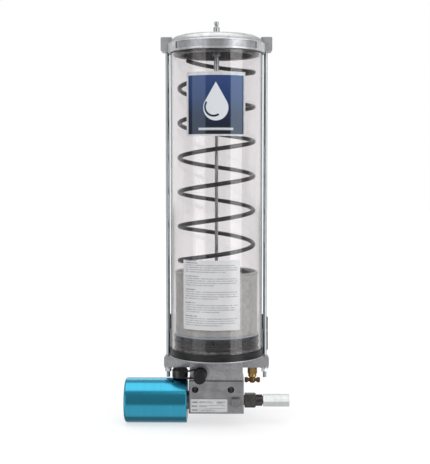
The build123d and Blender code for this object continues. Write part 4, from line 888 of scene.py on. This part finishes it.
def on_tube(tree, place, name):
    """How far across and up a film a point lies, each from 0 to 1."""
    low, high = (Vector(corner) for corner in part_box(name))
    axes = node(tree, "SeparateXYZ", place)
    x = sums(tree, "SUBTRACT", axes.outputs["X"], AXIS.x)
    y = sums(tree, "SUBTRACT", AXIS.y, axes.outputs["Y"])
    angle = sums(tree, "ARCTAN2", x, y)
    film_r = 57.40 * MM                     # the tube's radius and a film's thickness
    left = math.asin(max(-1, (low.x - AXIS.x) / film_r))
    right = math.asin(min(1, (high.x - AXIS.x) / film_r))
    across = spread(tree, angle, left, right, 0.0, 1.0, clamp=False)
    up = spread(tree, axes.outputs["Z"], low.z, high.z, 0.0, 1.0, clamp=False)
    return across, up


decal_film, tree, shader, place = finish("blue_decal_film", 0.08, Specular_IOR_Level=0.85,
                                         Specular_Tint=(0.62, 0.78, 1.0, 1.0))
across, up = on_tube(tree, place, "front_decal")
field = ramp(tree, up, (0.05, (0.008, 0.008, 0.010)), (0.35, (0.010, 0.016, 0.040)),
             (0.62, (0.020, 0.042, 0.130)), (0.95, (0.030, 0.058, 0.175)), smooth=False)
# Drop: a disc below, drawn up to a point whose sides rise at 60 degrees and touch the disc
DISC_R, TIP = 0.20, 0.40
x = sums(tree, "SUBTRACT", across, 0.5)
y = sums(tree, "SUBTRACT", up, 0.44)
disc = spread(tree, length(tree, x, y), DISC_R - 0.004, DISC_R + 0.004, 1.0, 0.0)
half_width = product(tree, sums(tree, "SUBTRACT", TIP, y), 0.577)
slope = sums(tree, "SUBTRACT", half_width, sums(tree, "ABSOLUTE", x))
point = product(tree, spread(tree, slope, -0.004, 0.004), spread(tree, y, 0.098, 0.102))
drop = sums(tree, "MAXIMUM", disc, point)
# A crescent of shine inside its lower left
inner = length(tree, sums(tree, "ADD", x, 0.035), sums(tree, "ADD", y, -0.01))
crescent = product(tree, spread(tree, inner, 0.118, 0.124), spread(tree, inner, 0.150, 0.156, 1.0, 0.0),
                   spread(tree, sums(tree, "ADD", x, y), -0.06, -0.05, 1.0, 0.0))
drop = sums(tree, "SUBTRACT", drop, crescent, clamp=True)
bar = bars(tree, across, up, [(0.22, 0.78, 0.095, 0.125)])
colour = mixed(tree, sums(tree, "MAXIMUM", drop, bar), field, (0.74, 0.76, 0.79))
inside = product(tree, between(tree, across, 0.035, 0.965), between(tree, up, 0.028, 0.945))
edge = ramp(tree, noise(tree, place, Scale=120.0, Detail=3.0), (0.3, 0.58), (0.7, 0.70))
colour = mixed(tree, inside, edge, colour)
joined(tree, shader.inputs["Base Color"], colour)
coated(decal_film, "front_decal")

text_film, tree, shader, place = finish("ruled_label_film", 0.26, Coat_Weight=0.3, Coat_Roughness=0.1)
across, up = on_tube(tree, place, "ruled_label")
PARAGRAPHS, LINES = 5, 6
TOP_MARGIN, LEFT_MARGIN, FOOT = 0.975, 0.045, 0.02
down = sums(tree, "SUBTRACT", TOP_MARGIN, up)
row = product(tree, down, PARAGRAPHS * LINES / (TOP_MARGIN - FOOT))
index = sums(tree, "FLOOR", row)
within = sums(tree, "FRACT", row)
step = sums(tree, "MODULO", index, float(LINES))
chance = node(tree, "TexWhiteNoise", W=index, noise_dimensions="1D").outputs["Value"]
# Each paragraph has a short heading, full lines, a shorter last line and a gap
heading = sums(tree, "LESS_THAN", step, 0.5)
last = sums(tree, "COMPARE", step, LINES - 2.0, 0.4)
gap = sums(tree, "GREATER_THAN", step, LINES - 1.5)
reach = spread(tree, chance, 0.0, 1.0, 0.90, 0.965)
shorter = product(tree, last, sums(tree, "ADD", 0.15, product(tree, chance, 0.35)))
reach = sums(tree, "SUBTRACT", sums(tree, "SUBTRACT", reach, shorter), product(tree, heading, 0.66))
letter = spread(tree, letters(tree, across, 110.0, index), 0.10, 0.35, 0.15, 1.0)
stroke = product(tree, between(tree, within, 0.24, 0.66, 0.08),
                 spread(tree, across, LEFT_MARGIN, LEFT_MARGIN + 0.005),
                 sums(tree, "LESS_THAN", across, reach), letter, sums(tree, "SUBTRACT", 1.0, gap))
ink = product(tree, stroke, sums(tree, "ADD", 0.52, product(tree, heading, 0.30)),
              spread(tree, up, FOOT, FOOT + 0.002))
stock = ramp(tree, noise(tree, place, Scale=60.0, Detail=4.0),
             (0.3, (0.66, 0.66, 0.67)), (0.7, (0.72, 0.72, 0.73)))
joined(tree, shader.inputs["Base Color"], mixed(tree, ink, stock, (0.12, 0.12, 0.13)))
coated(text_film, "ruled_label")
